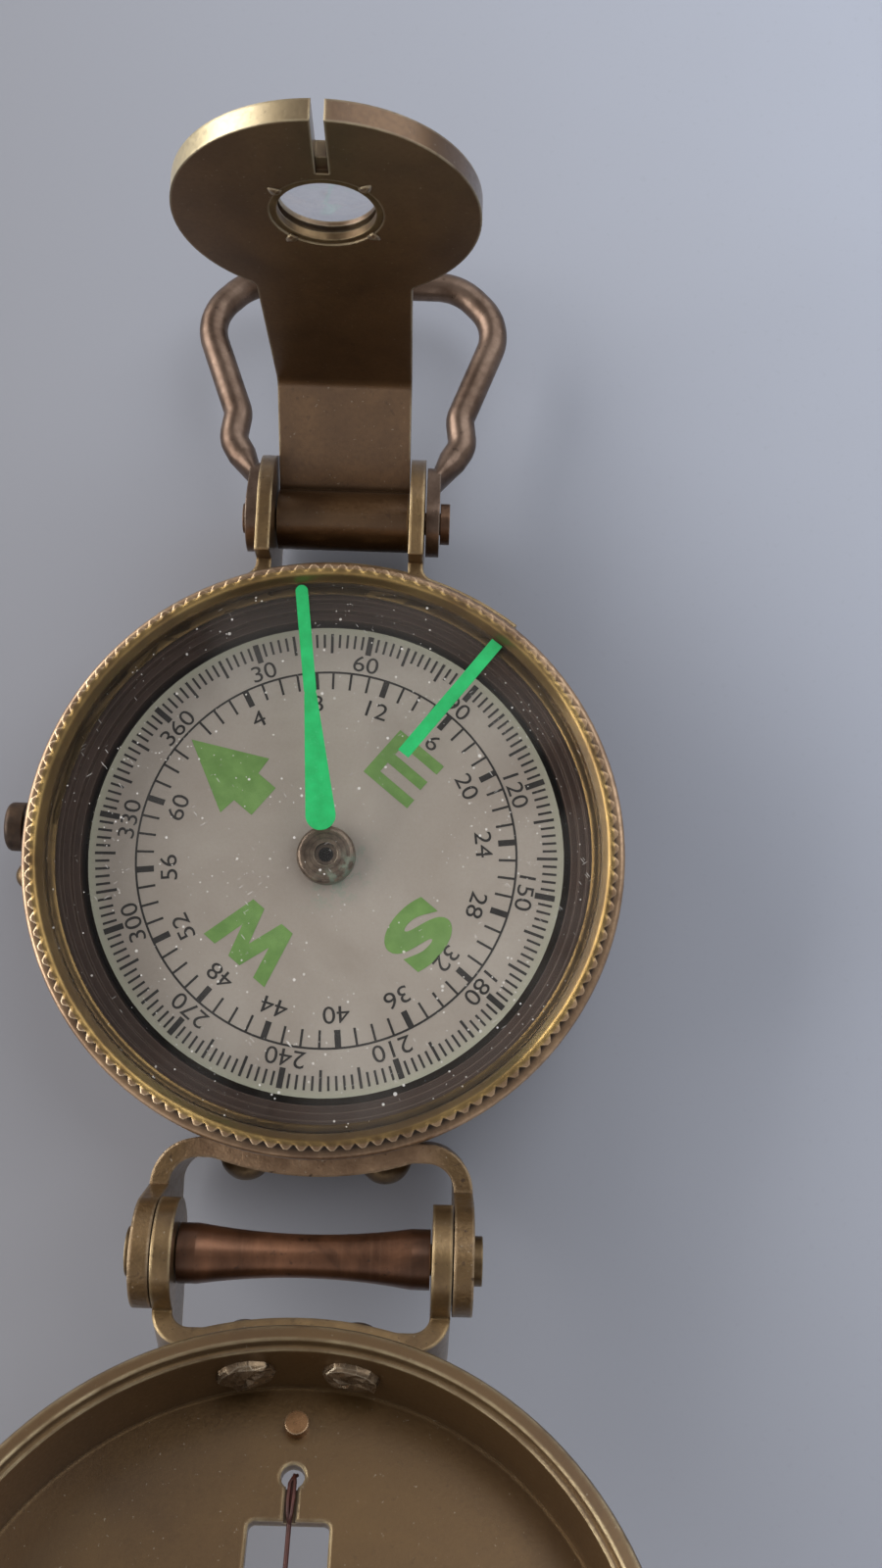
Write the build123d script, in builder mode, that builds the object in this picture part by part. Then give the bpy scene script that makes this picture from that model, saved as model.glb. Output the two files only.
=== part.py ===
from build123d import *
import os
from math import acos, asin, atan2, cos, degrees, radians, sin, sqrt, tan

# A sighting pocket compass: a round case with a turning bezel, a floating dial, a lens on a
# folding arm, a thumb loop and a hinged lid with a sighting wire.
# Millimetres. The origin is the middle of the case underside, +Z is up, +Y points to the
# eyepiece and -Y to the lid hinge. It is drawn lying open: eyepiece upright, loop laid down.

os.makedirs("parts", exist_ok=True)

overrun = 1.0
fit_clearance = 0.02
running_clearance = 0.08

# Case cup
case_radius = 24.9
case_wall = 2.3
case_floor = 1.3
case_foot_radius = 2.0
case_shoulder = 10.7
neck_step = 1.0
neck_wall = 0.9

# Turning bezel, its glass and the open ring that holds it on the neck
bezel_overhang = 0.1
bezel_height = 4.6
bezel_gap = 0.2
bezel_skirt_height = 3.1
bezel_shoulder = 0.75
bezel_rim = 0.75
bezel_bevel = 0.58
bezel_edge_radius = 0.4
bezel_ledge_width = 0.65
bezel_ledge = 0.5
knurl_count = 124
knurl_depth = 0.45
knurl_width_share = 0.75
glass_thickness = 1.0
glass_inset = 0.9
snap_ring_bar = 0.6
snap_ring_opening_angle = 20

# Luminous lines on the bezel glass
line_thickness = 0.12
line_margin = 0.15
long_line_angle = 7.3
long_line_start = 1.5
long_line_flare = 13.0
long_line_root_width = 2.5
long_line_tip_width = 1.05
short_line_angle = long_line_angle - 45
short_line_start = 10.3
short_line_width = 1.1

# Stepped well round the dial
well_lip = 0.98
well_depth = 4.3
well_step_width = 0.6
well_step_rise = 1.1

# Floating dial: card, bar magnet, hub and jewel, on a needle
dial_heading = 51
card_thickness = 0.4
card_depth = 2.8
card_margin = 0.6
magnet_length = 28.0
magnet_width = 5.0
magnet_thickness = 1.2
hub_radius = 2.5
hub_rise = 1.2
hub_rounding = 0.5
hub_stem_radius = 1.5
hub_stem_tail = 0.3
hub_bore_radius = 0.75
jewel_radius = 0.95
jewel_thickness = 0.6
jewel_cup_radius = 0.6
jewel_cup_depth = 0.4
post_foot_radius = 3.0
post_foot_height = 1.0
post_radius = 1.1
post_height = 5.0
needle_radius = 0.35
needle_socket = 2.5
needle_point = 1.6
needle_tip_gap = 0.04

# Dial lock on the left wall: outer lever with a knob, and a lifter arm inside
lock_height = 6.0
lock_travel = 15
lock_pivot_y = -1.9
lock_arm = 4.3
lock_sheet = 1.0
lock_lever_width = 2.6
lock_wall_gap = 0.2
lock_pin_radius = 0.7
lock_slot_clearance = 0.15
lock_neck_radius = 1.0
lock_neck = 0.6
knob_radius = 2.15
knob_thickness = 1.6
knob_rounding = 0.5
lock_rivet_radius = 0.8
lock_rivet_head_radius = 1.25
lock_rivet_dome = 1.1
lifter_sheet = 0.6
lifter_width = 1.6
lifter_wall_gap = 0.4
lifter_tip_radius = 3.2
lifter_tip_length = 2.0
lifter_tip_gap = 0.4

# Rivets
rivet_radius = 1.0
rivet_head_radius = 2.05
rivet_dome = 1.35
rivet_tail_radius = 1.6
rivet_tail = 0.45

# Eyepiece bracket and the pin that it shares with the thumb loop
eye_hinge_reach = 6.5
eye_hinge_height = 7.0
eye_bracket_sheet = 1.3
eye_bracket_half_angle = 37
eye_bracket_top_gap = 0.2
eye_ear_gap = 12.1
eye_ear_radius = 5.7
eye_ear_fillet = 1.2
eye_rivet_spacing = 7.0
eye_pin_radius = 1.0
eye_pin_head_radius = 1.85
eye_pin_head = 0.85
eye_pin_tail_radius = 1.35
eye_pin_tail = 0.35

# Folding eyepiece arm with its lens
eye_sheet = 1.6
eye_side_clearance = 0.15
eye_plate_offset = 10.1
eye_ramp_angle = 41
eye_bend_radius = 2.4
eye_neck_width = 12.1
eye_neck_fillet = 1.0
eye_disc_radius = 11.1
eye_disc_reach = 32.9
eye_slot_width = 0.9
eye_slot_length = 4.4
eye_groove_length = 1.4
eye_groove_depth = 0.35
lens_rise = 0.5
lens_radius = 4.05
lens_edge = 0.5
lens_bulge = 0.35
lens_aperture_radius = 3.55
lens_lip = 0.4
lens_ring_thickness = 0.6

# Thumb loop
loop_droop = 4
loop_length = 24.7
loop_half_width = 13.9
loop_wire = 2.65
loop_tab_sheet = 1.2
loop_tab_radius = 3.0
loop_tab_gap = 0.15
loop_tab_length = 5.4
loop_tab_end_radius = 1.7
loop_flare_share = 0.62
loop_shoulder_shares = (0.765, 0.32)
loop_knee_shares = (0.74, 0.43)
loop_corner_shares = (1.0, 0.83)
loop_crown_shares = (0.71, 1.0)
loop_knee_radius = 2.2
loop_corner_radius = 4.5
loop_crown_radius = 5.0

# Lid hinge
hinge_reach = 7.4
hinge_sheet = 1.55
hinge_ear_radius = 4.2
hinge_side_gap = 0.12
hinge_pin_radius = 1.2
hinge_pin_head_radius = 1.9
hinge_pin_head = 0.7
spool_length = 19.6
spool_radius = 2.3
spool_waist_radius = 1.65
spool_collar = 1.45
case_strap_base = 2.2
case_strap_top_gap = 0.2
case_strap_setback = 1.3
case_strap_crank_radius = 2.5
case_strap_bend_radius = 3.0
case_rivet_angle = 13.2
lid_strap_gap = 0.1
lid_strap_height = 5.9
lid_strap_setback = 1.0
lid_strap_crank_radius = 2.5
lid_strap_bend_radius = 2.2
lid_rivet_angle = 9.4

# Lid
lid_opening = 145.5
lid_lip = 0.75
lid_wall = 1.25
lid_depth = 6.9
lid_floor = 1.0
lid_crown_radius = 1.5
lid_bead = 0.6
lid_bead_height = 1.0
lid_rebate_gap = 0.45
lid_rebate_depth = 0.6
notch_side_clearance = 0.5
notch_depth = 5.2
notch_rounding = 1.2
window_margin = 10.05
window_width = 6.0
window_rounding = 0.5
wire_radius = 0.18
wire_hole_radius = 0.9
wire_hole_inset = 3.2
wire_channel_width = 0.9
wire_channel_depth = 0.35
wire_bend_radius = 0.4
stud_radius = 0.92
stud_shank_radius = 0.5
stud_rise = 0.9
stud_inset = 3.7

# Heights of the stack, from the case shoulder upwards and from the bezel ledge down
bezel_base = case_shoulder + bezel_gap
bezel_top = bezel_base + bezel_height
glass_top = bezel_top - glass_inset
glass_base = glass_top - glass_thickness
ledge_base = glass_base - bezel_ledge
neck_top = ledge_base - bezel_gap
liner_seat = neck_top - well_depth
card_top = ledge_base - card_depth
card_base = card_top - card_thickness
magnet_base = card_base - magnet_thickness
hub_base = magnet_base - hub_stem_tail
hub_top = card_top + hub_rise
jewel_base = hub_top - 2 * jewel_thickness + jewel_cup_depth / 2
post_top = case_floor + post_height

# Radii that neighbouring pieces share, from the case outwards and then inwards
case_inner = case_radius - case_wall
neck_radius = case_radius - neck_step
neck_inner = neck_radius - neck_wall
skirt_inner = neck_radius + running_clearance
bezel_radius = case_radius + bezel_overhang
bezel_crown_radius = bezel_radius - bezel_shoulder
bezel_mouth_radius = bezel_crown_radius - bezel_rim
glass_radius = bezel_mouth_radius - bezel_bevel - fit_clearance
bezel_ledge_radius = glass_radius - bezel_ledge_width
well_radius = neck_inner - fit_clearance - well_lip - 2 * well_step_width
card_radius = well_radius - card_margin
snap_ring_radius = neck_radius + running_clearance / 2
snap_ring_height = (bezel_base + ledge_base) / 2
snap_ring_groove = snap_ring_bar + 2 * running_clearance
eye_bracket_radius = case_radius + eye_bracket_sheet
eye_ear_inner = eye_ear_gap / 2
eye_ear_outer = eye_ear_inner + eye_bracket_sheet
eye_arm_half = eye_ear_inner - eye_side_clearance
eye_knuckle_bore = eye_pin_radius + running_clearance
eye_knuckle_radius = eye_knuckle_bore + eye_sheet
eye_rivet_places = [(side * eye_rivet_spacing / 2, eye_hinge_height) for side in (-1, 1)]
lid_ear_inner = spool_length / 2 + hinge_side_gap
lid_ear_outer = lid_ear_inner + hinge_sheet
case_ear_inner = lid_ear_outer + hinge_side_gap
case_ear_outer = case_ear_inner + hinge_sheet
case_strap_top = case_shoulder - case_strap_top_gap
case_strap_mid = (case_strap_base + case_strap_top) / 2

# The two hinge lines, both along X
eye_hinge = Vector(0, case_radius + eye_hinge_reach, eye_hinge_height)
lid_hinge = Vector(0, -(case_radius + hinge_reach), bezel_base + bezel_skirt_height)

# Radii and heights on the closed lid
lid_rebate_radius = bezel_radius + lid_rebate_gap
lid_radius = lid_rebate_radius + lid_lip
lid_rim = lid_hinge.Z
lid_shelf = lid_rim + lid_rebate_depth
lid_inside = lid_rim + lid_depth
lid_top = lid_inside + lid_floor
lid_inner = lid_radius - lid_wall
window_length = 2 * (lid_inner - window_margin)
lid_strap_base = lid_rim + lid_bead_height + lid_strap_gap
lid_strap_top = lid_strap_base + lid_strap_height
lid_strap_mid = (lid_strap_base + lid_strap_top) / 2

# Working planes: the closed lid's plan, section and side, swung open about the lid hinge
swing_cos = cos(radians(lid_opening))
swing_sin = sin(radians(lid_opening))
lid_plan = Plane(
    origin=(
        0,
        lid_hinge.Y - lid_hinge.Y * swing_cos + lid_hinge.Z * swing_sin,
        lid_hinge.Z - lid_hinge.Y * swing_sin - lid_hinge.Z * swing_cos,
    ),
    x_dir=(1, 0, 0),
    z_dir=(0, -swing_sin, swing_cos),
)
lid_section = Plane(origin=lid_plan.origin, x_dir=lid_plan.x_dir, z_dir=-lid_plan.y_dir)
lid_side = Plane(origin=lid_plan.origin, x_dir=lid_plan.y_dir, z_dir=lid_plan.x_dir)
lid_axis = Axis(lid_plan.origin, lid_plan.z_dir)

# The upright arm's side view and front view, and the loop's plane, a little below the level
eye_side = Plane(origin=eye_hinge, x_dir=(0, 1, 0), z_dir=(1, 0, 0))
eye_front = Plane(origin=eye_hinge, x_dir=(1, 0, 0), z_dir=(0, -1, 0))
loop_normal = (0, sin(radians(loop_droop)), cos(radians(loop_droop)))
loop_plane = Plane(origin=eye_hinge, x_dir=(1, 0, 0), z_dir=loop_normal)
loop_side = Plane(origin=eye_hinge, x_dir=loop_plane.y_dir, z_dir=(1, 0, 0))
dial_plan = Plane(origin=(0, 0, 0), x_dir=(cos(radians(dial_heading)), sin(radians(dial_heading)), 0))
eye_pin_axis = Axis(eye_hinge, (1, 0, 0))
lid_pin_axis = Axis(lid_hinge, (1, 0, 0))


def radial_plane(angle, height):
    """A plane through the case axis whose normal points outwards, angle degrees from -Y."""
    outward = (sin(radians(angle)), -cos(radians(angle)), 0)
    return Plane(origin=(0, 0, height), x_dir=(0, 0, 1), z_dir=outward)


def lid_radial_plane(angle, height):
    """The same on the lid: a plane through the lid's axis, angle degrees from its hinge side."""
    outward = lid_plan.x_dir * sin(radians(angle)) - lid_plan.y_dir * cos(radians(angle))
    return Plane(
        origin=lid_plan.origin + lid_plan.z_dir * height,
        x_dir=lid_plan.z_dir,
        z_dir=outward,
    )


def inside_reach(radius, half_width):
    """How far out a flat face of this half width can lie inside a round wall."""
    return sqrt(radius**2 - half_width**2)


def add_rivet(plane, inner, outer, shank, head, dome, tail, tail_height):
    """A domed rivet along a plane's normal, gripping from inner to outer."""
    dome_radius = (head**2 + dome**2) / (2 * dome)
    half_turn = atan2(head, dome_radius - dome) / 2
    middle = (outer + dome - dome_radius + dome_radius * cos(half_turn), dome_radius * sin(half_turn))
    with BuildSketch(Plane(origin=plane.origin, x_dir=plane.z_dir, z_dir=-plane.y_dir)) as profile:
        with BuildLine():
            Polyline(
                (outer + dome, 0),
                (inner - tail_height, 0),
                (inner - tail_height, tail),
                (inner, tail),
                (inner, shank),
                (outer, shank),
                (outer, head),
            )
            ThreePointArc((outer, head), middle, (outer + dome, 0))
        make_face()
    revolve(profile.sketch, axis=Axis(plane.origin, plane.z_dir))


def strap_ear_root(wall_radius, setback, bend_radius):
    """Where a hinge strap's bend ends and its straight ear begins, along Y."""
    return setback - wall_radius - hinge_sheet / 2 - bend_radius


def draw_strap(wall_radius, setback, crank_radius, bend_radius, ear_middle):
    """Centreline of a hinge strap: an arc on the wall, a crank back, a bend and a short leg."""
    crest = wall_radius + hinge_sheet / 2
    turn = degrees(acos((crest - setback + crank_radius) / (crest + crank_radius)))
    crank_x = (crest + crank_radius) * sin(radians(turn))
    wing_y = setback - crest
    bend_x = ear_middle - bend_radius
    ear_root = strap_ear_root(wall_radius, setback, bend_radius)
    CenterArc((0, 0), crest, -90, turn)
    CenterArc((crank_x, wing_y - crank_radius), crank_radius, 90, turn)
    Line((crank_x, wing_y), (bend_x, wing_y))
    CenterArc((bend_x, wing_y - bend_radius), bend_radius, 0, 90)
    Line((ear_middle, ear_root), (ear_middle, ear_root - hinge_sheet))


# Case cup: the body that carries everything
with BuildPart() as case_cup:
    with BuildSketch(Plane.XZ):
        with BuildLine():
            Line((0, 0), (case_radius - case_foot_radius, 0))
            CenterArc((case_radius - case_foot_radius, case_foot_radius), case_foot_radius, -90, 90)
            Polyline(
                (case_radius, case_foot_radius),
                (case_radius, case_shoulder),
                (neck_radius, case_shoulder),
                (neck_radius, neck_top),
                (neck_inner, neck_top),
                (neck_inner, liner_seat),
                (case_inner, liner_seat),
                (case_inner, case_floor),
                (0, case_floor),
                (0, 0),
            )
        make_face()
    revolve(axis=Axis.Z)
    with BuildSketch(Plane.XZ):
        with Locations((snap_ring_radius, snap_ring_height)):
            Rectangle(snap_ring_groove, snap_ring_groove)
    revolve(axis=Axis.Z, mode=Mode.SUBTRACT)
    for side in (-1, 1):
        with BuildSketch(radial_plane(side * case_rivet_angle, case_strap_mid)):
            Circle(rivet_radius + fit_clearance)
        extrude(amount=case_radius + overrun, mode=Mode.SUBTRACT)
    with BuildSketch(Plane.XZ.offset(-case_inner / 2)):
        with Locations(*eye_rivet_places):
            Circle(rivet_radius + fit_clearance)
    extrude(amount=-case_radius, mode=Mode.SUBTRACT)
    lock_rise = lock_arm * sin(radians(lock_travel))
    with BuildSketch(Plane.YZ.offset(-case_inner / 2)):
        with Locations((lock_pivot_y, lock_height)):
            Circle(lock_rivet_radius + fit_clearance)
        with Locations((lock_pivot_y + lock_arm, lock_height + lock_rise / 2)):
            SlotCenterToCenter(lock_rise, 2 * (lock_pin_radius + lock_slot_clearance), rotation=90)
    extrude(amount=-case_radius, mode=Mode.SUBTRACT)
case_cup.part.label = "case_cup"
export_step(case_cup.part, "parts/case_cup.step")

# Stepped dark ring that lines the well round the dial
with BuildPart() as dial_well_ring:
    with BuildSketch(Plane.XZ):
        with BuildLine():
            Polyline(
                (well_radius, liner_seat),
                (neck_inner - fit_clearance, liner_seat),
                (neck_inner - fit_clearance, neck_top),
                (well_radius + 2 * well_step_width, neck_top),
                (well_radius + 2 * well_step_width, neck_top - well_step_rise),
                (well_radius + well_step_width, neck_top - well_step_rise),
                (well_radius + well_step_width, neck_top - 2 * well_step_rise),
                (well_radius, neck_top - 2 * well_step_rise),
                close=True,
            )
        make_face()
    revolve(axis=Axis.Z)
dial_well_ring.part.label = "dial_well_ring"
export_step(dial_well_ring.part, "parts/dial_well_ring.step")

# Pivot post on the case floor, with the steel needle that the dial floats on
needle_top = jewel_base + jewel_cup_depth - needle_tip_gap
needle_base = post_top - needle_socket
with BuildPart() as pivot_post:
    with BuildSketch(Plane.XZ):
        with BuildLine():
            Polyline(
                (0, case_floor),
                (post_foot_radius, case_floor),
                (post_foot_radius, case_floor + post_foot_height),
                (post_radius, case_floor + post_foot_height),
                (post_radius, post_top),
                (needle_radius + fit_clearance, post_top),
                (needle_radius + fit_clearance, needle_base),
                (0, needle_base),
                close=True,
            )
        make_face()
    revolve(axis=Axis.Z)
pivot_post.part.label = "pivot_post"
export_step(pivot_post.part, "parts/pivot_post.step")

with BuildPart() as pivot_needle:
    with BuildSketch(Plane.XZ):
        with BuildLine():
            Polyline(
                (0, needle_base),
                (needle_radius, needle_base),
                (needle_radius, needle_top - needle_point),
                (0, needle_top),
                close=True,
            )
        make_face()
    revolve(axis=Axis.Z)
pivot_needle.part.label = "pivot_needle"
export_step(pivot_needle.part, "parts/pivot_needle.step")

# Bezel: a skirt that runs on the neck, a notched crown above it and a ledge for the glass
bezel_waist = bezel_base + bezel_skirt_height
with BuildPart() as bezel_ring:
    with BuildSketch(Plane.XZ):
        with BuildLine():
            edge_line = bezel_radius - bezel_edge_radius
            Line((edge_line, bezel_base), (bezel_radius, bezel_base + bezel_edge_radius))
            edge_low = bezel_base + bezel_edge_radius
            edge_high = bezel_waist - bezel_edge_radius
            Line((bezel_radius, edge_low), (bezel_radius, edge_high))
            CenterArc((edge_line, edge_high), bezel_edge_radius, 0, 90)
            Polyline(
                (edge_line, bezel_waist),
                (bezel_crown_radius, bezel_waist),
                (bezel_crown_radius, bezel_top),
                (bezel_mouth_radius, bezel_top),
                (glass_radius + fit_clearance, glass_top),
                (glass_radius + fit_clearance, glass_base),
                (bezel_ledge_radius, glass_base),
                (bezel_ledge_radius, ledge_base),
                (skirt_inner, ledge_base),
                (skirt_inner, bezel_base),
                (edge_line, bezel_base),
            )
        make_face()
    revolve(axis=Axis.Z)
    with BuildSketch(Plane.XZ):
        with Locations((snap_ring_radius, snap_ring_height)):
            Rectangle(snap_ring_groove, snap_ring_groove)
    revolve(axis=Axis.Z, mode=Mode.SUBTRACT)
    knurl_half_width = knurl_width_share * bezel_crown_radius * sin(radians(180 / knurl_count))
    with BuildSketch(Plane.XY.offset(bezel_waist)):
        with PolarLocations(bezel_crown_radius, knurl_count):
            Polygon(
                (-knurl_depth, 0),
                (0, -knurl_half_width),
                (bezel_shoulder, -knurl_half_width),
                (bezel_shoulder, knurl_half_width),
                (0, knurl_half_width),
                align=None,
            )
    extrude(amount=bezel_height, mode=Mode.SUBTRACT)
bezel_ring.part.label = "bezel_ring"
export_step(bezel_ring.part, "parts/bezel_ring.step")

with BuildPart() as bezel_glass:
    with BuildSketch(Plane.XY.offset(glass_base)):
        Circle(glass_radius)
    extrude(amount=glass_thickness)
bezel_glass.part.label = "bezel_glass"
export_step(bezel_glass.part, "parts/bezel_glass.step")

# Open ring of square bar, half in the neck and half in the skirt
with BuildPart() as bezel_snap_ring:
    with BuildSketch(Plane.XZ):
        with Locations((snap_ring_radius, snap_ring_height)):
            Rectangle(snap_ring_bar, snap_ring_bar)
    revolve(axis=Axis.Z, revolution_arc=360 - snap_ring_opening_angle)
bezel_snap_ring.part.label = "bezel_snap_ring"
export_step(bezel_snap_ring.part, "parts/bezel_snap_ring.step")

# Two luminous lines on the glass, the long one swelling from its flare towards the middle
long_line_plan = Plane.XY.offset(glass_top).rotated((0, 0, long_line_angle))
short_line_plan = Plane.XY.offset(glass_top).rotated((0, 0, short_line_angle))
line_end = glass_radius - line_margin
with BuildPart() as luminous_lines:
    with BuildSketch(long_line_plan):
        with Locations((0, long_line_start + long_line_root_width / 2)):
            Circle(long_line_root_width / 2)
        with Locations((0, long_line_flare)):
            Circle(long_line_tip_width / 2)
        make_hull()
        with Locations((0, (long_line_flare + line_end) / 2)):
            SlotOverall(line_end - long_line_flare, long_line_tip_width, rotation=90)
    with BuildSketch(short_line_plan):
        with Locations((0, (short_line_start + line_end) / 2)):
            Rectangle(short_line_width, line_end - short_line_start)
    extrude(amount=line_thickness)
luminous_lines.part.label = "luminous_lines"
export_step(luminous_lines.part, "parts/luminous_lines.step")

# Floating dial
with BuildPart() as dial_card:
    with BuildSketch(Plane.XY.offset(card_base)):
        Circle(card_radius)
        Circle(hub_stem_radius + fit_clearance, mode=Mode.SUBTRACT)
    extrude(amount=card_thickness)
dial_card.part.label = "dial_card"
export_step(dial_card.part, "parts/dial_card.step")

with BuildPart() as dial_magnet:
    with BuildSketch(dial_plan.offset(magnet_base)):
        SlotOverall(magnet_length, magnet_width, rotation=90)
        Circle(hub_stem_radius + fit_clearance, mode=Mode.SUBTRACT)
    extrude(amount=magnet_thickness)
dial_magnet.part.label = "dial_magnet"
export_step(dial_magnet.part, "parts/dial_magnet.step")

with BuildPart() as dial_hub:
    with BuildSketch(Plane.XZ):
        with BuildLine():
            Polyline(
                (hub_bore_radius, hub_base),
                (hub_stem_radius, hub_base),
                (hub_stem_radius, card_top),
                (hub_radius, card_top),
                (hub_radius, hub_top - hub_rounding),
            )
            CenterArc((hub_radius - hub_rounding, hub_top - hub_rounding), hub_rounding, 0, 90)
            Polyline(
                (hub_radius - hub_rounding, hub_top),
                (jewel_radius + fit_clearance, hub_top),
                (jewel_radius + fit_clearance, jewel_base),
                (hub_bore_radius, jewel_base),
                (hub_bore_radius, hub_base),
            )
        make_face()
    revolve(axis=Axis.Z)
dial_hub.part.label = "dial_hub"
export_step(dial_hub.part, "parts/dial_hub.step")

with BuildPart() as dial_jewel:
    with BuildSketch(Plane.XZ):
        with BuildLine():
            Polyline(
                (jewel_cup_radius, jewel_base),
                (jewel_radius, jewel_base),
                (jewel_radius, jewel_base + jewel_thickness),
                (0, jewel_base + jewel_thickness),
                (0, jewel_base + jewel_cup_depth),
                close=True,
            )
        make_face()
    revolve(axis=Axis.Z)
dial_jewel.part.label = "dial_jewel"
export_step(dial_jewel.part, "parts/dial_jewel.step")

# Dial lock: lever on the outside of the wall, knob with its pin, lifter arm inside
lever_base = -(case_radius + lock_wall_gap)
lever_face = lever_base - lock_sheet
knob_y = lock_pivot_y + lock_arm
with BuildPart() as lock_rivet:
    rivet_plane = Plane(origin=(0, lock_pivot_y, lock_height), x_dir=(0, 0, 1), z_dir=(-1, 0, 0))
    add_rivet(
        rivet_plane,
        inside_reach(case_inner, abs(lock_pivot_y) + lock_rivet_head_radius),
        -lever_face + running_clearance,
        lock_rivet_radius,
        lock_rivet_head_radius,
        lock_rivet_dome,
        lock_rivet_head_radius,
        rivet_tail,
    )
lock_rivet.part.label = "lock_rivet"
export_step(lock_rivet.part, "parts/lock_rivet.step")

with BuildPart() as lock_lever:
    with BuildSketch(Plane.YZ.offset(lever_face)):
        with Locations((lock_pivot_y + lock_arm / 2, lock_height)):
            SlotCenterToCenter(lock_arm, lock_lever_width)
        with Locations((lock_pivot_y, lock_height)):
            Circle(lock_rivet_radius + running_clearance, mode=Mode.SUBTRACT)
        with Locations((knob_y, lock_height)):
            Circle(lock_pin_radius + fit_clearance, mode=Mode.SUBTRACT)
    extrude(amount=lock_sheet)
lock_lever.part.label = "lock_lever"
export_step(lock_lever.part, "parts/lock_lever.step")

lifter_face = inside_reach(case_inner, knob_y + lifter_width / 2) - lifter_wall_gap
knob_base = -lever_face + lock_neck
with BuildPart() as lock_knob:
    with BuildSketch(Plane(origin=(0, knob_y, lock_height), x_dir=(-1, 0, 0), z_dir=(0, 1, 0))):
        with BuildLine():
            Polyline(
                (knob_base + knob_thickness, 0),
                (lifter_face - lifter_sheet, 0),
                (lifter_face - lifter_sheet, lock_pin_radius),
                (-lever_face, lock_pin_radius),
                (-lever_face, lock_neck_radius),
                (knob_base, lock_neck_radius),
                (knob_base, knob_radius),
                (knob_base + knob_thickness - knob_rounding, knob_radius),
            )
            CenterArc(
                (knob_base + knob_thickness - knob_rounding, knob_radius - knob_rounding),
                knob_rounding,
                0,
                90,
            )
            knob_face = knob_base + knob_thickness
            Line((knob_face, knob_radius - knob_rounding), (knob_face, 0))
        make_face()
    revolve(axis=Axis((0, knob_y, lock_height), (1, 0, 0)))
lock_knob.part.label = "lock_knob"
export_step(lock_knob.part, "parts/lock_knob.step")

# The lifter arm runs from the knob's pin to the middle and turns up below the magnet
lifter_tip_top = magnet_base - lifter_tip_gap - lock_rise
lifter_boss = lock_pin_radius + lifter_sheet
lifter_base = lock_height - lifter_boss
with BuildPart() as lock_lifter:
    with BuildSketch(Plane.XZ.offset(-(knob_y - lifter_width / 2))):
        with BuildLine():
            Polyline(
                (-lifter_face, lifter_base),
                (-lifter_tip_radius, lifter_base),
                (-lifter_tip_radius, lifter_tip_top),
                (-lifter_tip_radius - lifter_tip_length, lifter_tip_top),
                (-lifter_tip_radius - lifter_tip_length, lifter_tip_top - lifter_sheet),
                (-lifter_tip_radius - lifter_sheet, lifter_tip_top - lifter_sheet),
                (-lifter_tip_radius - lifter_sheet, lifter_base + lifter_sheet),
                (-lifter_face + lifter_sheet, lifter_base + lifter_sheet),
                (-lifter_face + lifter_sheet, lock_height + lifter_boss),
                (-lifter_face, lock_height + lifter_boss),
                close=True,
            )
        make_face()
    extrude(amount=-lifter_width)
    with BuildSketch(Plane.YZ.offset(-lifter_face)):
        with Locations((knob_y, lock_height)):
            Circle(lifter_boss)
    extrude(amount=lifter_sheet)
    with BuildSketch(Plane.YZ.offset(-lifter_face - overrun)):
        with Locations((knob_y, lock_height)):
            Circle(lock_pin_radius + fit_clearance)
    extrude(amount=lifter_sheet + 2 * overrun, mode=Mode.SUBTRACT)
lock_lifter.part.label = "lock_lifter"
export_step(lock_lifter.part, "parts/lock_lifter.step")

# Eyepiece bracket: a flange round the wall and two ears, under the bezel
eye_bracket_base = eye_hinge_height - eye_ear_radius
eye_bracket_top = eye_hinge_height + eye_ear_radius
with BuildPart() as eyepiece_bracket:
    with BuildSketch(Plane.XY.offset(eye_bracket_base)) as plan:
        with BuildLine():
            flange_start = 90 - eye_bracket_half_angle
            outer_arc = CenterArc((0, 0), eye_bracket_radius, flange_start, 2 * eye_bracket_half_angle)
            inner_arc = CenterArc((0, 0), case_radius, flange_start, 2 * eye_bracket_half_angle)
            Line(outer_arc @ 0, inner_arc @ 0)
            Line(outer_arc @ 1, inner_arc @ 1)
        make_face()
        ear_root = inside_reach(eye_bracket_radius, eye_ear_outer) - eye_bracket_sheet / 2
        ear_end = eye_hinge.Y + eye_ear_radius
        for side in (-1, 1):
            with Locations((side * (eye_ear_inner + eye_ear_outer) / 2, (ear_root + ear_end) / 2)):
                Rectangle(eye_bracket_sheet, ear_end - ear_root)
        outer_corners = [v for v in plan.vertices() if abs(abs(v.X) - eye_ear_outer) < fit_clearance]
        roots = [v for v in outer_corners if v.Y < ear_end - overrun]
        fillet(roots, eye_ear_fillet)
    extrude(amount=2 * eye_ear_radius)
    with BuildSketch(Plane.YZ):
        with BuildLine():
            Polyline(
                (eye_hinge.Y, eye_bracket_base),
                (0, eye_bracket_base),
                (0, case_shoulder - eye_bracket_top_gap),
                (eye_bracket_radius + eye_bracket_top_gap, case_shoulder - eye_bracket_top_gap),
                (eye_bracket_radius + eye_bracket_top_gap, eye_bracket_top),
                (eye_hinge.Y, eye_bracket_top),
            )
            CenterArc((eye_hinge.Y, eye_hinge.Z), eye_ear_radius, -90, 180)
        make_face()
    extrude(amount=case_radius, both=True, mode=Mode.INTERSECT)
    with BuildSketch(eye_side):
        Circle(eye_pin_radius + fit_clearance)
    extrude(amount=eye_ear_outer + overrun, both=True, mode=Mode.SUBTRACT)
    with BuildSketch(Plane.XZ.offset(-case_inner)):
        with Locations(*eye_rivet_places):
            Circle(rivet_radius + fit_clearance)
    extrude(amount=-eye_hinge_reach, mode=Mode.SUBTRACT)
eyepiece_bracket.part.label = "eyepiece_bracket"
export_step(eyepiece_bracket.part, "parts/eyepiece_bracket.step")

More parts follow.
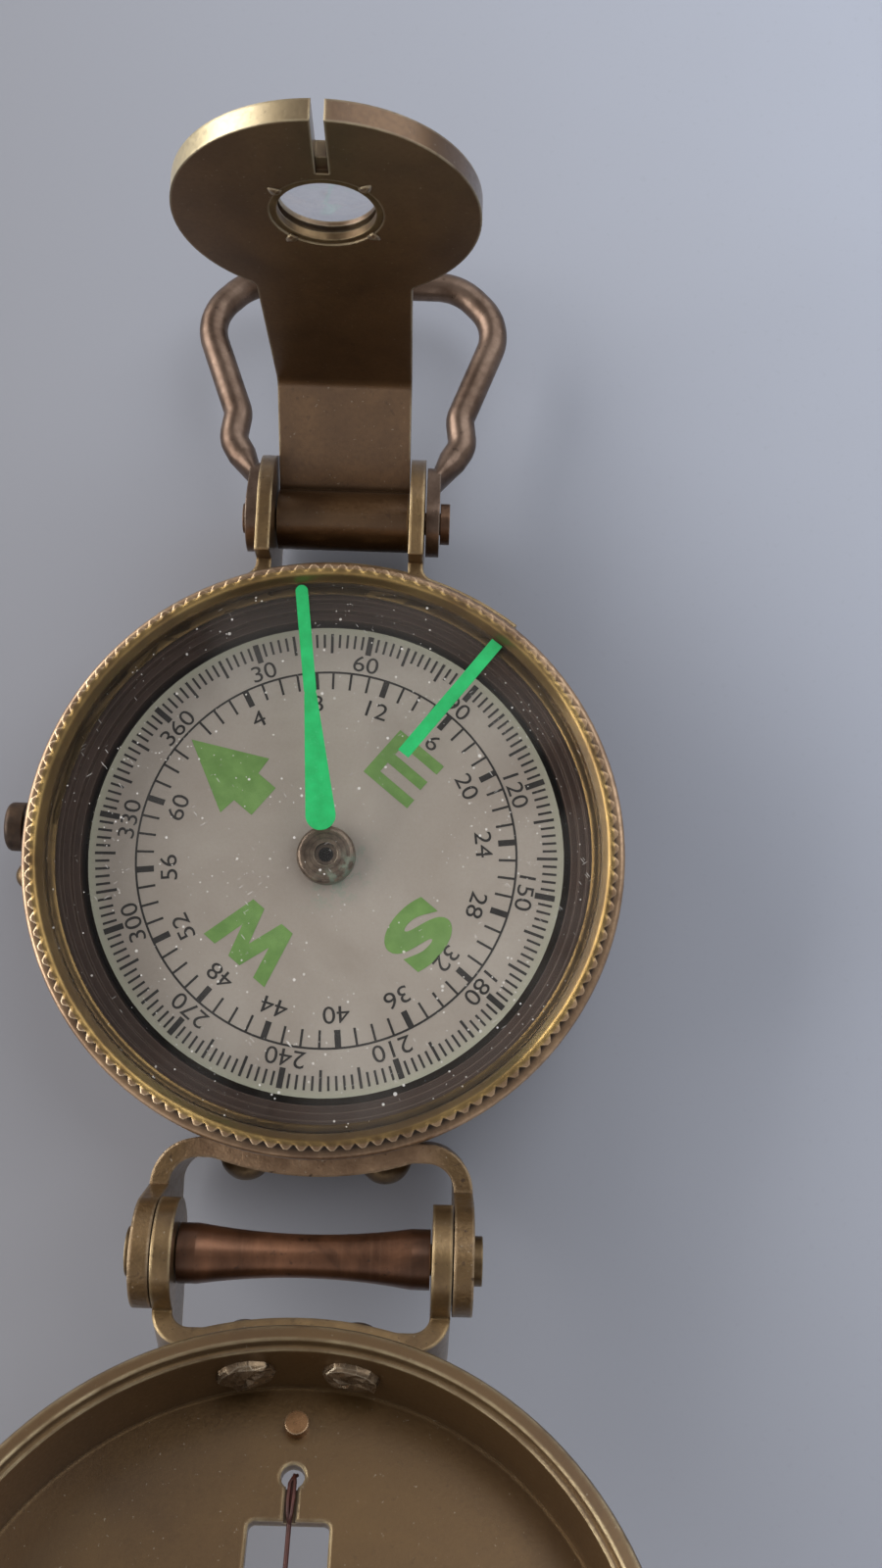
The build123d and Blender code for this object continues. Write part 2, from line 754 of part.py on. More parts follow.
with BuildPart() as eyepiece_bracket_rivets:
    for side in (-1, 1):
        rivet_plane = Plane(
            origin=(side * eye_rivet_spacing / 2, 0, eye_hinge_height), x_dir=(0, 0, 1), z_dir=(0, 1, 0)
        )
        rivet_edge = eye_rivet_spacing / 2 + rivet_tail_radius
        rivet_seat = inside_reach(eye_bracket_radius, eye_rivet_spacing / 2 - rivet_head_radius)
        add_rivet(
            rivet_plane,
            inside_reach(case_inner, rivet_edge),
            rivet_seat,
            rivet_radius,
            rivet_head_radius,
            rivet_dome / 2,
            rivet_tail_radius,
            rivet_tail,
        )
eyepiece_bracket_rivets.part.label = "eyepiece_bracket_rivets"
export_step(eyepiece_bracket_rivets.part, "parts/eyepiece_bracket_rivets.step")

# Eyepiece arm: rolled knuckle, ramp, bend, and a plate that widens into the lens disc
ramp = radians(eye_ramp_angle)
knuckle_line = eye_knuckle_bore + eye_sheet / 2
ramp_start = (knuckle_line * sin(ramp), -knuckle_line * cos(ramp))
plate_line = eye_plate_offset + eye_sheet / 2
bend_corner = (plate_line, ramp_start[1] + (plate_line - ramp_start[0]) * tan(ramp))
disc_top = eye_disc_reach + eye_disc_radius
neck_half = eye_neck_width / 2
neck_height = eye_disc_reach - inside_reach(eye_disc_radius, neck_half)
with BuildPart() as eyepiece_arm:
    with BuildSketch(eye_side):
        with BuildLine():
            FilletPolyline(ramp_start, bend_corner, (plate_line, disc_top + overrun), radius=eye_bend_radius)
        trace(line_width=eye_sheet)
        Circle(eye_knuckle_radius)
        Circle(eye_knuckle_bore, mode=Mode.SUBTRACT)
    extrude(amount=eye_disc_radius + overrun, both=True)
    with BuildSketch(eye_front) as outline:
        with BuildLine():
            Polyline(
                (-eye_arm_half, -eye_knuckle_radius - overrun),
                (eye_arm_half, -eye_knuckle_radius - overrun),
                (eye_arm_half, bend_corner[1]),
                (neck_half, neck_height),
                (neck_half, eye_disc_reach),
                (-neck_half, eye_disc_reach),
                (-neck_half, neck_height),
                (-eye_arm_half, bend_corner[1]),
                close=True,
            )
        make_face()
        with Locations((0, eye_disc_reach)):
            Circle(eye_disc_radius)
        neck_corners = [v for v in outline.vertices() if abs(v.Y - neck_height) < fit_clearance]
        fillet(neck_corners, eye_neck_fillet)
    extrude(amount=plate_line + eye_disc_radius, both=True, mode=Mode.INTERSECT)
    with BuildSketch(eye_front.offset(-eye_plate_offset)):
        with Locations((0, disc_top - eye_slot_length / 2 + overrun / 2)):
            Rectangle(eye_slot_width, eye_slot_length + overrun)
    extrude(amount=-eye_sheet - overrun, mode=Mode.SUBTRACT)
    with BuildSketch(eye_front.offset(-eye_plate_offset)):
        with Locations((0, disc_top - eye_slot_length - eye_groove_length / 2)):
            Rectangle(eye_slot_width, eye_groove_length)
    extrude(amount=-eye_groove_depth, mode=Mode.SUBTRACT)
    with BuildSketch(eye_front.offset(-eye_plate_offset)):
        with Locations((0, eye_disc_reach + lens_rise)):
            Circle(lens_radius + fit_clearance)
    extrude(amount=lens_lip - eye_sheet, mode=Mode.SUBTRACT)
    with BuildSketch(eye_front.offset(-eye_plate_offset)):
        with Locations((0, eye_disc_reach + lens_rise)):
            Circle(lens_aperture_radius)
    extrude(amount=-eye_sheet - overrun, mode=Mode.SUBTRACT)
eyepiece_arm.part.label = "eyepiece_arm"
export_step(eyepiece_arm.part, "parts/eyepiece_arm.step")

# Lens on the lip of its seat, held by a ring from the dial side
lens_centre = eye_hinge + Vector(0, 0, eye_disc_reach + lens_rise)
lens_plane = Plane(origin=lens_centre, x_dir=(0, 1, 0), z_dir=(1, 0, 0))
lens_axis = Axis(lens_plane.origin, (0, 1, 0))
lens_back = eye_plate_offset + eye_sheet - lens_lip
lens_front = lens_back - lens_edge
with BuildPart() as eyepiece_lens:
    with BuildSketch(lens_plane):
        with BuildLine():
            lens_clear = lens_aperture_radius - running_clearance
            bulge_radius = (lens_clear**2 + lens_bulge**2) / (2 * lens_bulge)
            quarter = asin(lens_clear / bulge_radius) / 2
            quarter_in = bulge_radius * (1 - cos(quarter))
            quarter_out = bulge_radius * sin(quarter)
            Line((lens_back + lens_bulge, 0), (lens_front - lens_bulge, 0))
            ThreePointArc(
                (lens_front - lens_bulge, 0),
                (lens_front - lens_bulge + quarter_in, quarter_out),
                (lens_front, lens_clear),
            )
            Polyline(
                (lens_front, lens_clear),
                (lens_front, lens_radius),
                (lens_back, lens_radius),
                (lens_back, lens_clear),
            )
            ThreePointArc(
                (lens_back, lens_clear),
                (lens_back + lens_bulge - quarter_in, quarter_out),
                (lens_back + lens_bulge, 0),
            )
        make_face()
    revolve(axis=lens_axis)
eyepiece_lens.part.label = "eyepiece_lens"
export_step(eyepiece_lens.part, "parts/eyepiece_lens.step")

with BuildPart() as lens_ring:
    with BuildSketch(lens_plane):
        with BuildLine():
            Polyline(
                (lens_front - lens_ring_thickness, lens_aperture_radius),
                (lens_front - lens_ring_thickness, lens_radius),
                (lens_front, lens_radius),
                (lens_front, lens_aperture_radius),
                close=True,
            )
        make_face()
    revolve(axis=lens_axis)
lens_ring.part.label = "lens_ring"
export_step(lens_ring.part, "parts/lens_ring.step")

# Pin through ears, arm and loop: a turned head on the right, peened over on the left
tab_inner = eye_ear_outer + loop_tab_gap
tab_outer = tab_inner + loop_tab_sheet
pin_grip = tab_outer + loop_tab_gap / 2
with BuildPart() as eyepiece_pin:
    with BuildSketch(Plane(origin=eye_hinge, x_dir=(1, 0, 0), z_dir=(0, -1, 0))):
        with BuildLine():
            Polyline(
                (-pin_grip - eye_pin_tail, 0),
                (-pin_grip - eye_pin_tail, eye_pin_tail_radius),
                (-pin_grip, eye_pin_tail_radius),
                (-pin_grip, eye_pin_radius),
                (pin_grip, eye_pin_radius),
                (pin_grip, eye_pin_head_radius),
                (pin_grip + eye_pin_head, eye_pin_head_radius),
                (pin_grip + eye_pin_head, 0),
                close=True,
            )
        make_face()
    revolve(axis=eye_pin_axis)
eyepiece_pin.part.label = "eyepiece_pin"
export_step(eyepiece_pin.part, "parts/eyepiece_pin.step")

# Thumb loop: round wire bent to a stirrup, its ends drawn flat and drilled for the pin
flare_start = Vector((tab_inner + tab_outer) / 2, loop_tab_length - loop_tab_end_radius)
loop_bends = [
    Vector(across_share * loop_half_width, along_share * loop_length)
    for across_share, along_share in (
        loop_shoulder_shares,
        loop_knee_shares,
        loop_corner_shares,
        loop_crown_shares,
    )
]
flare_end = flare_start + (loop_bends[0] - flare_start) * loop_flare_share
half_route = [(point.X, point.Y) for point in [flare_end] + loop_bends]
half_radii = [loop_knee_radius, loop_knee_radius, loop_corner_radius, loop_crown_radius]
loop_route = half_route + [(-across, along) for across, along in reversed(half_route)]
loop_radii = half_radii + half_radii[::-1]
with BuildPart() as thumb_loop:
    with BuildLine(loop_plane) as loop_path:
        FilletPolyline(*loop_route, radius=loop_radii)
    with BuildSketch(Plane(origin=loop_path.line @ 0, z_dir=loop_path.line % 0)):
        Circle(loop_wire / 2)
    sweep(path=loop_path.line)
    for side in (-1, 1):
        start = loop_plane.from_local_coords(Vector(side * flare_start.X, flare_start.Y))
        end = loop_plane.from_local_coords(Vector(side * flare_end.X, flare_end.Y))
        with BuildSketch(Plane(origin=start, x_dir=loop_plane.z_dir, z_dir=end - start)):
            Ellipse(loop_tab_end_radius, loop_tab_sheet / 2)
        with BuildSketch(Plane(origin=end, x_dir=loop_plane.z_dir, z_dir=end - start)):
            Circle(loop_wire / 2)
        loft()
    for side_plane in (loop_side.offset(tab_inner), loop_side.offset(-tab_outer)):
        with BuildSketch(side_plane):
            Circle(loop_tab_radius)
            with Locations((loop_tab_length - loop_tab_end_radius, 0)):
                Circle(loop_tab_end_radius)
            make_hull()
            Circle(eye_pin_radius + running_clearance, mode=Mode.SUBTRACT)
        extrude(amount=loop_tab_sheet)
thumb_loop.part.label = "thumb_loop"
export_step(thumb_loop.part, "parts/thumb_loop.step")

# Case side of the lid hinge: a cranked strap whose ears rise to the hinge pin
case_ear_middle = (case_ear_inner + case_ear_outer) / 2
case_ear_root = strap_ear_root(case_radius, case_strap_setback, case_strap_bend_radius)
case_strap_height = case_strap_top - case_strap_base
with BuildPart() as case_hinge_bracket:
    with BuildSketch(Plane.XY.offset(case_strap_base)):
        with BuildLine():
            draw_strap(
                case_radius,
                case_strap_setback,
                case_strap_crank_radius,
                case_strap_bend_radius,
                case_ear_middle,
            )
            mirror(about=Plane.YZ)
        trace(line_width=hinge_sheet)
    extrude(amount=case_strap_height)
    for side_plane in (Plane.YZ.offset(case_ear_inner), Plane.YZ.offset(-case_ear_outer)):
        with BuildSketch(side_plane):
            with Locations((lid_hinge.Y, lid_hinge.Z)):
                Circle(hinge_ear_radius)
            with Locations((case_ear_root - hinge_sheet / 2, case_strap_mid)):
                Rectangle(hinge_sheet, case_strap_height)
            make_hull()
        extrude(amount=hinge_sheet)
    with BuildSketch(Plane(origin=lid_hinge, x_dir=(0, 1, 0), z_dir=(1, 0, 0))):
        Circle(hinge_pin_radius + fit_clearance)
    extrude(amount=case_ear_outer + overrun, both=True, mode=Mode.SUBTRACT)
    for side in (-1, 1):
        with BuildSketch(radial_plane(side * case_rivet_angle, case_strap_mid)):
            Circle(rivet_radius + fit_clearance)
        extrude(amount=case_radius + 2 * hinge_sheet, mode=Mode.SUBTRACT)
case_hinge_bracket.part.label = "case_hinge_bracket"
export_step(case_hinge_bracket.part, "parts/case_hinge_bracket.step")

with BuildPart() as case_hinge_rivets:
    for side in (-1, 1):
        add_rivet(
            radial_plane(side * case_rivet_angle, case_strap_mid),
            inside_reach(case_inner, rivet_tail_radius),
            case_radius + hinge_sheet,
            rivet_radius,
            rivet_head_radius,
            rivet_dome,
            rivet_tail_radius,
            rivet_tail,
        )
case_hinge_rivets.part.label = "case_hinge_rivets"
export_step(case_hinge_rivets.part, "parts/case_hinge_rivets.step")

# Lid side of the hinge: the same kind of strap, between the case ears
lid_ear_middle = (lid_ear_inner + lid_ear_outer) / 2
lid_ear_root = strap_ear_root(lid_radius, lid_strap_setback, lid_strap_bend_radius)
with BuildPart() as lid_hinge_bracket:
    with BuildSketch(lid_plan.offset(lid_strap_base)):
        with BuildLine():
            draw_strap(
                lid_radius,
                lid_strap_setback,
                lid_strap_crank_radius,
                lid_strap_bend_radius,
                lid_ear_middle,
            )
            mirror(about=Plane.YZ)
        trace(line_width=hinge_sheet)
    extrude(amount=lid_strap_height)
    for side_plane in (lid_side.offset(lid_ear_inner), lid_side.offset(-lid_ear_outer)):
        with BuildSketch(side_plane):
            with Locations((lid_hinge.Y, lid_hinge.Z)):
                Circle(hinge_ear_radius)
            with Locations((lid_ear_root - hinge_sheet / 2, lid_strap_mid)):
                Rectangle(hinge_sheet, lid_strap_height)
            make_hull()
        extrude(amount=hinge_sheet)
    with BuildSketch(Plane(origin=lid_hinge, x_dir=(0, 1, 0), z_dir=(1, 0, 0))):
        Circle(hinge_pin_radius + running_clearance)
    extrude(amount=lid_ear_outer + overrun, both=True, mode=Mode.SUBTRACT)
    for side in (-1, 1):
        with BuildSketch(lid_radial_plane(side * lid_rivet_angle, lid_strap_mid)):
            Circle(rivet_radius + fit_clearance)
        extrude(amount=lid_radius + 2 * hinge_sheet, mode=Mode.SUBTRACT)
lid_hinge_bracket.part.label = "lid_hinge_bracket"
export_step(lid_hinge_bracket.part, "parts/lid_hinge_bracket.step")

with BuildPart() as lid_hinge_rivets:
    for side in (-1, 1):
        add_rivet(
            lid_radial_plane(side * lid_rivet_angle, lid_strap_mid),
            inside_reach(lid_inner, rivet_tail_radius),
            lid_radius + hinge_sheet,
            rivet_radius,
            rivet_head_radius,
            rivet_dome,
            rivet_tail_radius,
            rivet_tail,
        )
lid_hinge_rivets.part.label = "lid_hinge_rivets"
export_step(lid_hinge_rivets.part, "parts/lid_hinge_rivets.step")

# Hinge pin with a head at each end, and the waisted spool that turns on it
hinge_profile = Plane(origin=lid_hinge, x_dir=(1, 0, 0), z_dir=(0, -1, 0))
pin_shoulder = case_ear_outer + fit_clearance
with BuildPart() as hinge_pin:
    with BuildSketch(hinge_profile):
        with BuildLine():
            Polyline(
                (-pin_shoulder - hinge_pin_head, 0),
                (-pin_shoulder - hinge_pin_head, hinge_pin_head_radius),
                (-pin_shoulder, hinge_pin_head_radius),
                (-pin_shoulder, hinge_pin_radius),
                (pin_shoulder, hinge_pin_radius),
                (pin_shoulder, hinge_pin_head_radius),
                (pin_shoulder + hinge_pin_head, hinge_pin_head_radius),
                (pin_shoulder + hinge_pin_head, 0),
                close=True,
            )
        make_face()
    revolve(axis=lid_pin_axis)
hinge_pin.part.label = "hinge_pin"
export_step(hinge_pin.part, "parts/hinge_pin.step")

spool_half = spool_length / 2
spool_bore = hinge_pin_radius + running_clearance
with BuildPart() as hinge_spool:
    with BuildSketch(hinge_profile):
        with BuildLine():
            Polyline(
                (spool_collar - spool_half, spool_radius),
                (-spool_half, spool_radius),
                (-spool_half, spool_bore),
                (spool_half, spool_bore),
                (spool_half, spool_radius),
                (spool_half - spool_collar, spool_radius),
            )
            ThreePointArc(
                (spool_half - spool_collar, spool_radius),
                (0, spool_waist_radius),
                (spool_collar - spool_half, spool_radius),
            )
        make_face()
    revolve(axis=lid_pin_axis)
hinge_spool.part.label = "hinge_spool"
export_step(hinge_spool.part, "parts/hinge_spool.step")

# Lid: a dished shell with a beaded, rebated rim, a window and a notch for the folded arm
notch_half = neck_half + notch_side_clearance
wire_reach = window_length / 2 + wire_hole_inset
with BuildPart() as lid_shell:
    with BuildSketch(lid_section):
        with BuildLine():
            Line((0, lid_top), (lid_radius - lid_crown_radius, lid_top))
            CenterArc((lid_radius - lid_crown_radius, lid_top - lid_crown_radius), lid_crown_radius, 0, 90)
            Polyline(
                (lid_radius, lid_top - lid_crown_radius),
                (lid_radius, lid_rim + lid_bead_height),
                (lid_radius + lid_bead / 2, lid_rim + lid_bead_height),
            )
            ThreePointArc(
                (lid_radius + lid_bead / 2, lid_rim + lid_bead_height),
                (lid_radius + lid_bead, lid_rim + lid_bead_height / 2),
                (lid_radius + lid_bead / 2, lid_rim),
            )
            Polyline(
                (lid_radius + lid_bead / 2, lid_rim),
                (lid_rebate_radius, lid_rim),
                (lid_rebate_radius, lid_shelf),
                (lid_inner, lid_shelf),
                (lid_inner, lid_inside),
                (0, lid_inside),
                (0, lid_top),
            )
        make_face()
    revolve(axis=lid_axis)
    with BuildSketch(lid_section.offset(-lid_inner / 2)) as notch:
        with Locations((0, lid_rim + notch_depth / 2 - overrun / 2)):
            Rectangle(2 * notch_half, notch_depth + overrun)
        fillet(notch.vertices().group_by(Axis.Y)[-1], notch_rounding)
    extrude(amount=-lid_radius, mode=Mode.SUBTRACT)
    with BuildSketch(lid_plan.offset(lid_inside - overrun)):
        RectangleRounded(window_width, window_length, window_rounding)
        with Locations((0, -wire_reach), (0, wire_reach)):
            Circle(wire_hole_radius)
        with Locations((0, -wire_reach - stud_inset)):
            Circle(stud_shank_radius + fit_clearance)
    extrude(amount=lid_floor + 2 * overrun, mode=Mode.SUBTRACT)
    with BuildSketch(lid_plan.offset(lid_inside)):
        Rectangle(wire_channel_width, 2 * wire_reach)
    extrude(amount=wire_channel_depth, mode=Mode.SUBTRACT)
    for side in (-1, 1):
        with BuildSketch(lid_radial_plane(side * lid_rivet_angle, lid_strap_mid)):
            Circle(rivet_radius + fit_clearance)
        extrude(amount=lid_radius + overrun, mode=Mode.SUBTRACT)
lid_shell.part.label = "lid_shell"
export_step(lid_shell.part, "parts/lid_shell.step")

# Sighting wire in its channel, its ends bent into the two holes
wire_height = lid_inside + wire_channel_depth - wire_radius
wire_end = lid_top - wire_radius
with BuildPart() as sighting_wire:
    with BuildLine(lid_side) as wire_path:
        FilletPolyline(
            (-wire_reach, wire_end),
            (-wire_reach, wire_height),
            (wire_reach, wire_height),
            (wire_reach, wire_end),
            radius=wire_bend_radius,
        )
    with BuildSketch(Plane(origin=wire_path.line @ 0, z_dir=wire_path.line % 0)):
        Circle(wire_radius)
    sweep(path=wire_path.line)
sighting_wire.part.label = "sighting_wire"
export_step(sighting_wire.part, "parts/sighting_wire.step")

# Small stud riveted through the lid beside the hinge
with BuildPart() as lid_stud:
    with BuildSketch(lid_plan.offset(lid_inside - stud_rise)):
        with Locations((0, -wire_reach - stud_inset)):
            Circle(stud_radius)
    extrude(amount=stud_rise)
    with BuildSketch(lid_plan.offset(lid_inside)):
        with Locations((0, -wire_reach - stud_inset)):
            Circle(stud_shank_radius)
    extrude(amount=lid_floor)
lid_stud.part.label = "lid_stud"
export_step(lid_stud.part, "parts/lid_stud.step")
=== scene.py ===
import math

import bmesh
import bpy
from mathutils import Matrix, Vector


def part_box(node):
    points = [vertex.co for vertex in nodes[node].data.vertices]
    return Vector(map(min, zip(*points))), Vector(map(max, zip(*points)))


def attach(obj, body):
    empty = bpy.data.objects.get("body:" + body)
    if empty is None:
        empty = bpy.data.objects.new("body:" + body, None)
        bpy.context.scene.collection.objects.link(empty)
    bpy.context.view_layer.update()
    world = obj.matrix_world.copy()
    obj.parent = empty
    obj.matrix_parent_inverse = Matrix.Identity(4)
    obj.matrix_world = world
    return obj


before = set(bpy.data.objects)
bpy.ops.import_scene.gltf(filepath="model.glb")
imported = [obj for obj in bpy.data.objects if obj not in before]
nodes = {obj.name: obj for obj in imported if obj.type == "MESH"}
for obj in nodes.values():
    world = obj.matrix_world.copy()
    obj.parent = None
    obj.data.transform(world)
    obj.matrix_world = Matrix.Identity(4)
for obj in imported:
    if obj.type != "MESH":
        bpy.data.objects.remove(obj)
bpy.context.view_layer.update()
scene = bpy.context.scene
MM = 0.001

# The sRGB curve: end and slope of its straight part, offset and power of the rest
SRGB_KNEE = 0.04045
SRGB_SLOPE = 12.92
SRGB_OFFSET = 0.055
SRGB_POWER = 2.4


def linear(channel):
    share = channel / 255
    if share <= SRGB_KNEE:
        return share / SRGB_SLOPE
    return ((share + SRGB_OFFSET) / (1 + SRGB_OFFSET)) ** SRGB_POWER


def tone(red, green, blue):
    """A colour given as it looks on screen, 0 to 255, in linear values."""
    return linear(red), linear(green), linear(blue)


def darker(color, share):
    return tuple(share * channel for channel in color)


# Node helpers

def new_material(name):
    """An empty material, with its node tree and its output."""
    material = bpy.data.materials.new(name)
    material.use_nodes = True
    tree = material.node_tree
    tree.nodes.clear()
    output = tree.nodes.new("ShaderNodeOutputMaterial")
    return material, tree, output


def add(tree, kind, **settings):
    node = tree.nodes.new(kind)
    for key, value in settings.items():
        setattr(node, key, value)
    return node


def put(tree, value, socket):
    """Links a socket, or sets a plain value."""
    if hasattr(value, "is_output"):
        tree.links.new(value, socket)
    else:
        socket.default_value = value


def coordinates(tree):
    """Places on the part, in metres."""
    return add(tree, "ShaderNodeTexCoord").outputs["Object"]


def noise(tree, where, scale, detail=4.0, roughness=0.55, distortion=0.0):
    node = add(tree, "ShaderNodeTexNoise")
    put(tree, where, node.inputs["Vector"])
    node.inputs["Scale"].default_value = scale
    node.inputs["Detail"].default_value = detail
    node.inputs["Roughness"].default_value = roughness
    node.inputs["Distortion"].default_value = distortion
    return node.outputs["Fac"]


def cells(tree, where, scale):
    """Distance to the nearest of many scattered points."""
    node = add(tree, "ShaderNodeTexVoronoi", feature="F1")
    put(tree, where, node.inputs["Vector"])
    node.inputs["Scale"].default_value = scale
    return node.outputs["Distance"]


def remap(tree, value, low, high, to_low=0.0, to_high=1.0):
    node = add(tree, "ShaderNodeMapRange", clamp=True)
    put(tree, value, node.inputs["Value"])
    node.inputs["From Min"].default_value = low
    node.inputs["From Max"].default_value = high
    node.inputs["To Min"].default_value = to_low
    node.inputs["To Max"].default_value = to_high
    return node.outputs["Result"]


def maths(tree, operation, a, b=0.0):
    node = add(tree, "ShaderNodeMath", operation=operation)
    put(tree, a, node.inputs[0])
    put(tree, b, node.inputs[1])
    return node.outputs[0]


def times(tree, a, b):
    return maths(tree, "MULTIPLY", a, b)


def mix(tree, share, a, b):
    node = add(tree, "ShaderNodeMix", data_type="RGBA")
    put(tree, share, node.inputs["Factor"])
    put(tree, (*a, 1) if isinstance(a, tuple) else a, node.inputs["A"])
    put(tree, (*b, 1) if isinstance(b, tuple) else b, node.inputs["B"])
    return node.outputs["Result"]


def mix_values(tree, share, a, b):
    node = add(tree, "ShaderNodeMix", data_type="FLOAT")
    put(tree, share, node.inputs[0])
    put(tree, a, node.inputs[2])
    put(tree, b, node.inputs[3])
    return node.outputs[0]


def mix_shaders(tree, share, a, b):
    node = add(tree, "ShaderNodeMixShader")
    put(tree, share, node.inputs[0])
    tree.links.new(a, node.inputs[1])
    tree.links.new(b, node.inputs[2])
    return node.outputs[0]


def axes(tree, where):
    node = add(tree, "ShaderNodeSeparateXYZ")
    put(tree, where, node.inputs[0])
    return node.outputs["X"], node.outputs["Y"], node.outputs["Z"]


def radius_of(tree, where):
    """Distance from the compass axis, in metres."""
    x, y, _ = axes(tree, where)
    return maths(tree, "SQRT", maths(tree, "ADD", times(tree, x, x), times(tree, y, y)))


def rounded_normal(tree, radius, samples=4):
    node = add(tree, "ShaderNodeBevel", samples=samples)
    put(tree, radius, node.inputs["Radius"])
    return node.outputs["Normal"]


def edge_share(tree, normal):
    """1 along edges, where the rounded normal leaves the true one."""
    geometry = add(tree, "ShaderNodeNewGeometry")
    dot = add(tree, "ShaderNodeVectorMath", operation="DOT_PRODUCT")
    put(tree, normal, dot.inputs[0])
    put(tree, geometry.outputs["Normal"], dot.inputs[1])
    return remap(tree, dot.outputs["Value"], low=0.995, high=0.90)


def openness(tree, reach):
    """1 on open faces and outer edges, lower in corners and notches."""
    node = add(tree, "ShaderNodeAmbientOcclusion", samples=6, only_local=True)
    node.inputs["Distance"].default_value = reach
    return node.outputs["AO"]


def rubbed_edges(tree, normal, free, worn):
    """1 along worn outer edges, 0 on faces and in corners."""
    outer = times(tree, edge_share(tree, normal), remap(tree, free, low=0.7, high=0.92))
    return times(tree, outer, worn)


def bump(tree, height, strength, distance, normal=None):
    node = add(tree, "ShaderNodeBump")
    node.inputs["Strength"].default_value = strength
    node.inputs["Distance"].default_value = distance
    put(tree, height, node.inputs["Height"])
    if normal is not None:
        put(tree, normal, node.inputs["Normal"])
    return node.outputs["Normal"]


COAT_ROUGHNESS = 0.28
PLAIN_ROUGHNESS = 0.4


def principled(tree, output, color, plain, metallic, roughness, normal=None, coat=0.0, specular=0.5):
    """The surface shader; plain is the colour that its own socket keeps."""
    shader = add(tree, "ShaderNodeBsdfPrincipled")
    shader.inputs["Specular IOR Level"].default_value = specular
    shader.inputs["Coat Weight"].default_value = coat
    shader.inputs["Coat Roughness"].default_value = COAT_ROUGHNESS
    shader.inputs["Base Color"].default_value = (*plain, 1)
    put(tree, color, shader.inputs["Base Color"])
    shader.inputs["Metallic"].default_value = metallic
    shader.inputs["Roughness"].default_value = PLAIN_ROUGHNESS
    put(tree, roughness, shader.inputs["Roughness"])
    if normal is not None:
        put(tree, normal, shader.inputs["Normal"])
    tree.links.new(shader.outputs["BSDF"], output.inputs["Surface"])


# Metals

OPENNESS_REACH = 0.9 * MM
GRAIN_DEPTH = 0.12 * MM
# Share of the dark tone that the painted shade in corners goes down to
PAINTED_SHADE_SHARE = 0.3
FLECK_SHADE = 0.35
SMOOTHER_BY = 0.07
ROUGHER_BY = 0.09
DUST_TONE = tone(205, 195, 175)


def aged_metal(name, dark, light, edge, metallic, rough, grain, patch, wear, edge_radius=0.18 * MM,
               bump_strength=0.12, flecks=0.0, dust=0.0, coat=0.0, local=None):
    """Metal with patches of tone, fine grain, rubbed edges, painted shade in its corners and recesses,
    dark flecks and pale dust.
    """
    material, tree, output = new_material(name)
    where = coordinates(tree)
    broad = noise(tree, where, scale=patch, detail=5.0, roughness=0.6, distortion=0.4)
    fine = noise(tree, where, scale=grain, detail=3.0, roughness=0.6)
    color = mix(tree, remap(tree, broad, low=0.36, high=0.66), dark, light)
    color = mix(tree, remap(tree, fine, low=0.42, high=0.75, to_high=0.35), color, dark)
    if local is not None:
        color = local(tree, where, color)
    normal = rounded_normal(tree, edge_radius)
    free = openness(tree, OPENNESS_REACH)
    worn = remap(tree, noise(tree, where, scale=420.0), low=0.3, high=0.62, to_low=0.25)
    rubbed = times(tree, rubbed_edges(tree, normal, free, worn), wear)
    color = mix(tree, rubbed, color, edge)
    # Painted shade: corners and recesses are darkened by how closed in they are
    painted_corner_shade = remap(tree, free, low=0.72, high=0.3, to_high=0.75)
    color = mix(tree, painted_corner_shade, color, darker(dark, PAINTED_SHADE_SHARE))
    if flecks:
        spots = noise(tree, where, scale=1500.0, detail=2.0)
        spots = remap(tree, spots, low=0.66, high=0.74, to_high=flecks)
        color = mix(tree, spots, color, darker(dark, FLECK_SHADE))
    if dust:
        specks = noise(tree, where, scale=3200.0, detail=2.0)
        specks = remap(tree, specks, low=0.70, high=0.76, to_high=dust)
        color = mix(tree, specks, color, DUST_TONE)
    roughness = remap(tree, fine, low=0.3, high=0.7,
                      to_low=rough - SMOOTHER_BY, to_high=rough + ROUGHER_BY)
    grained = bump(tree, fine, bump_strength, GRAIN_DEPTH, normal)
    principled(tree, output, color, light, metallic, roughness, grained, coat)
    return material


LENS_Z = (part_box("eyepiece_lens")[0].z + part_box("eyepiece_lens")[1].z) / 2
DISC_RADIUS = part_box("eyepiece_arm")[1].z - LENS_Z
STRAP_ARM_FROM = 8.6 * MM
STRAP_ARM_FULL = 11.2 * MM


def rubbed_rim(tree, where, color):
    """Painted highlight: pale brass colour on the upper rim of the lens disc, most of it on the left,
    towards the window lamp.
    """
    x, _, z = axes(tree, where)
    _, facing_y, _ = axes(tree, add(tree, "ShaderNodeTexCoord").outputs["Normal"])
    rim = remap(tree, maths(tree, "ABSOLUTE", facing_y), low=0.6, high=0.3)
    upper = remap(tree, z, low=LENS_Z - 0.4 * DISC_RADIUS, high=LENS_Z)
    left = remap(tree, x, low=-0.7 * DISC_RADIUS, high=0.1 * DISC_RADIUS, to_low=0.8, to_high=0.0)
    return mix(tree, times(tree, times(tree, rim, upper), left), color, tone(222, 206, 164))


def olive_arms(tree, where, color):
    """Olive lacquer left on the two arms of a hinge strap."""
    x, _, _ = axes(tree, where)
    arms = remap(tree, maths(tree, "ABSOLUTE", x), STRAP_ARM_FROM, STRAP_ARM_FULL, to_high=0.95)
    return mix(tree, arms, color, tone(112, 88, 56))


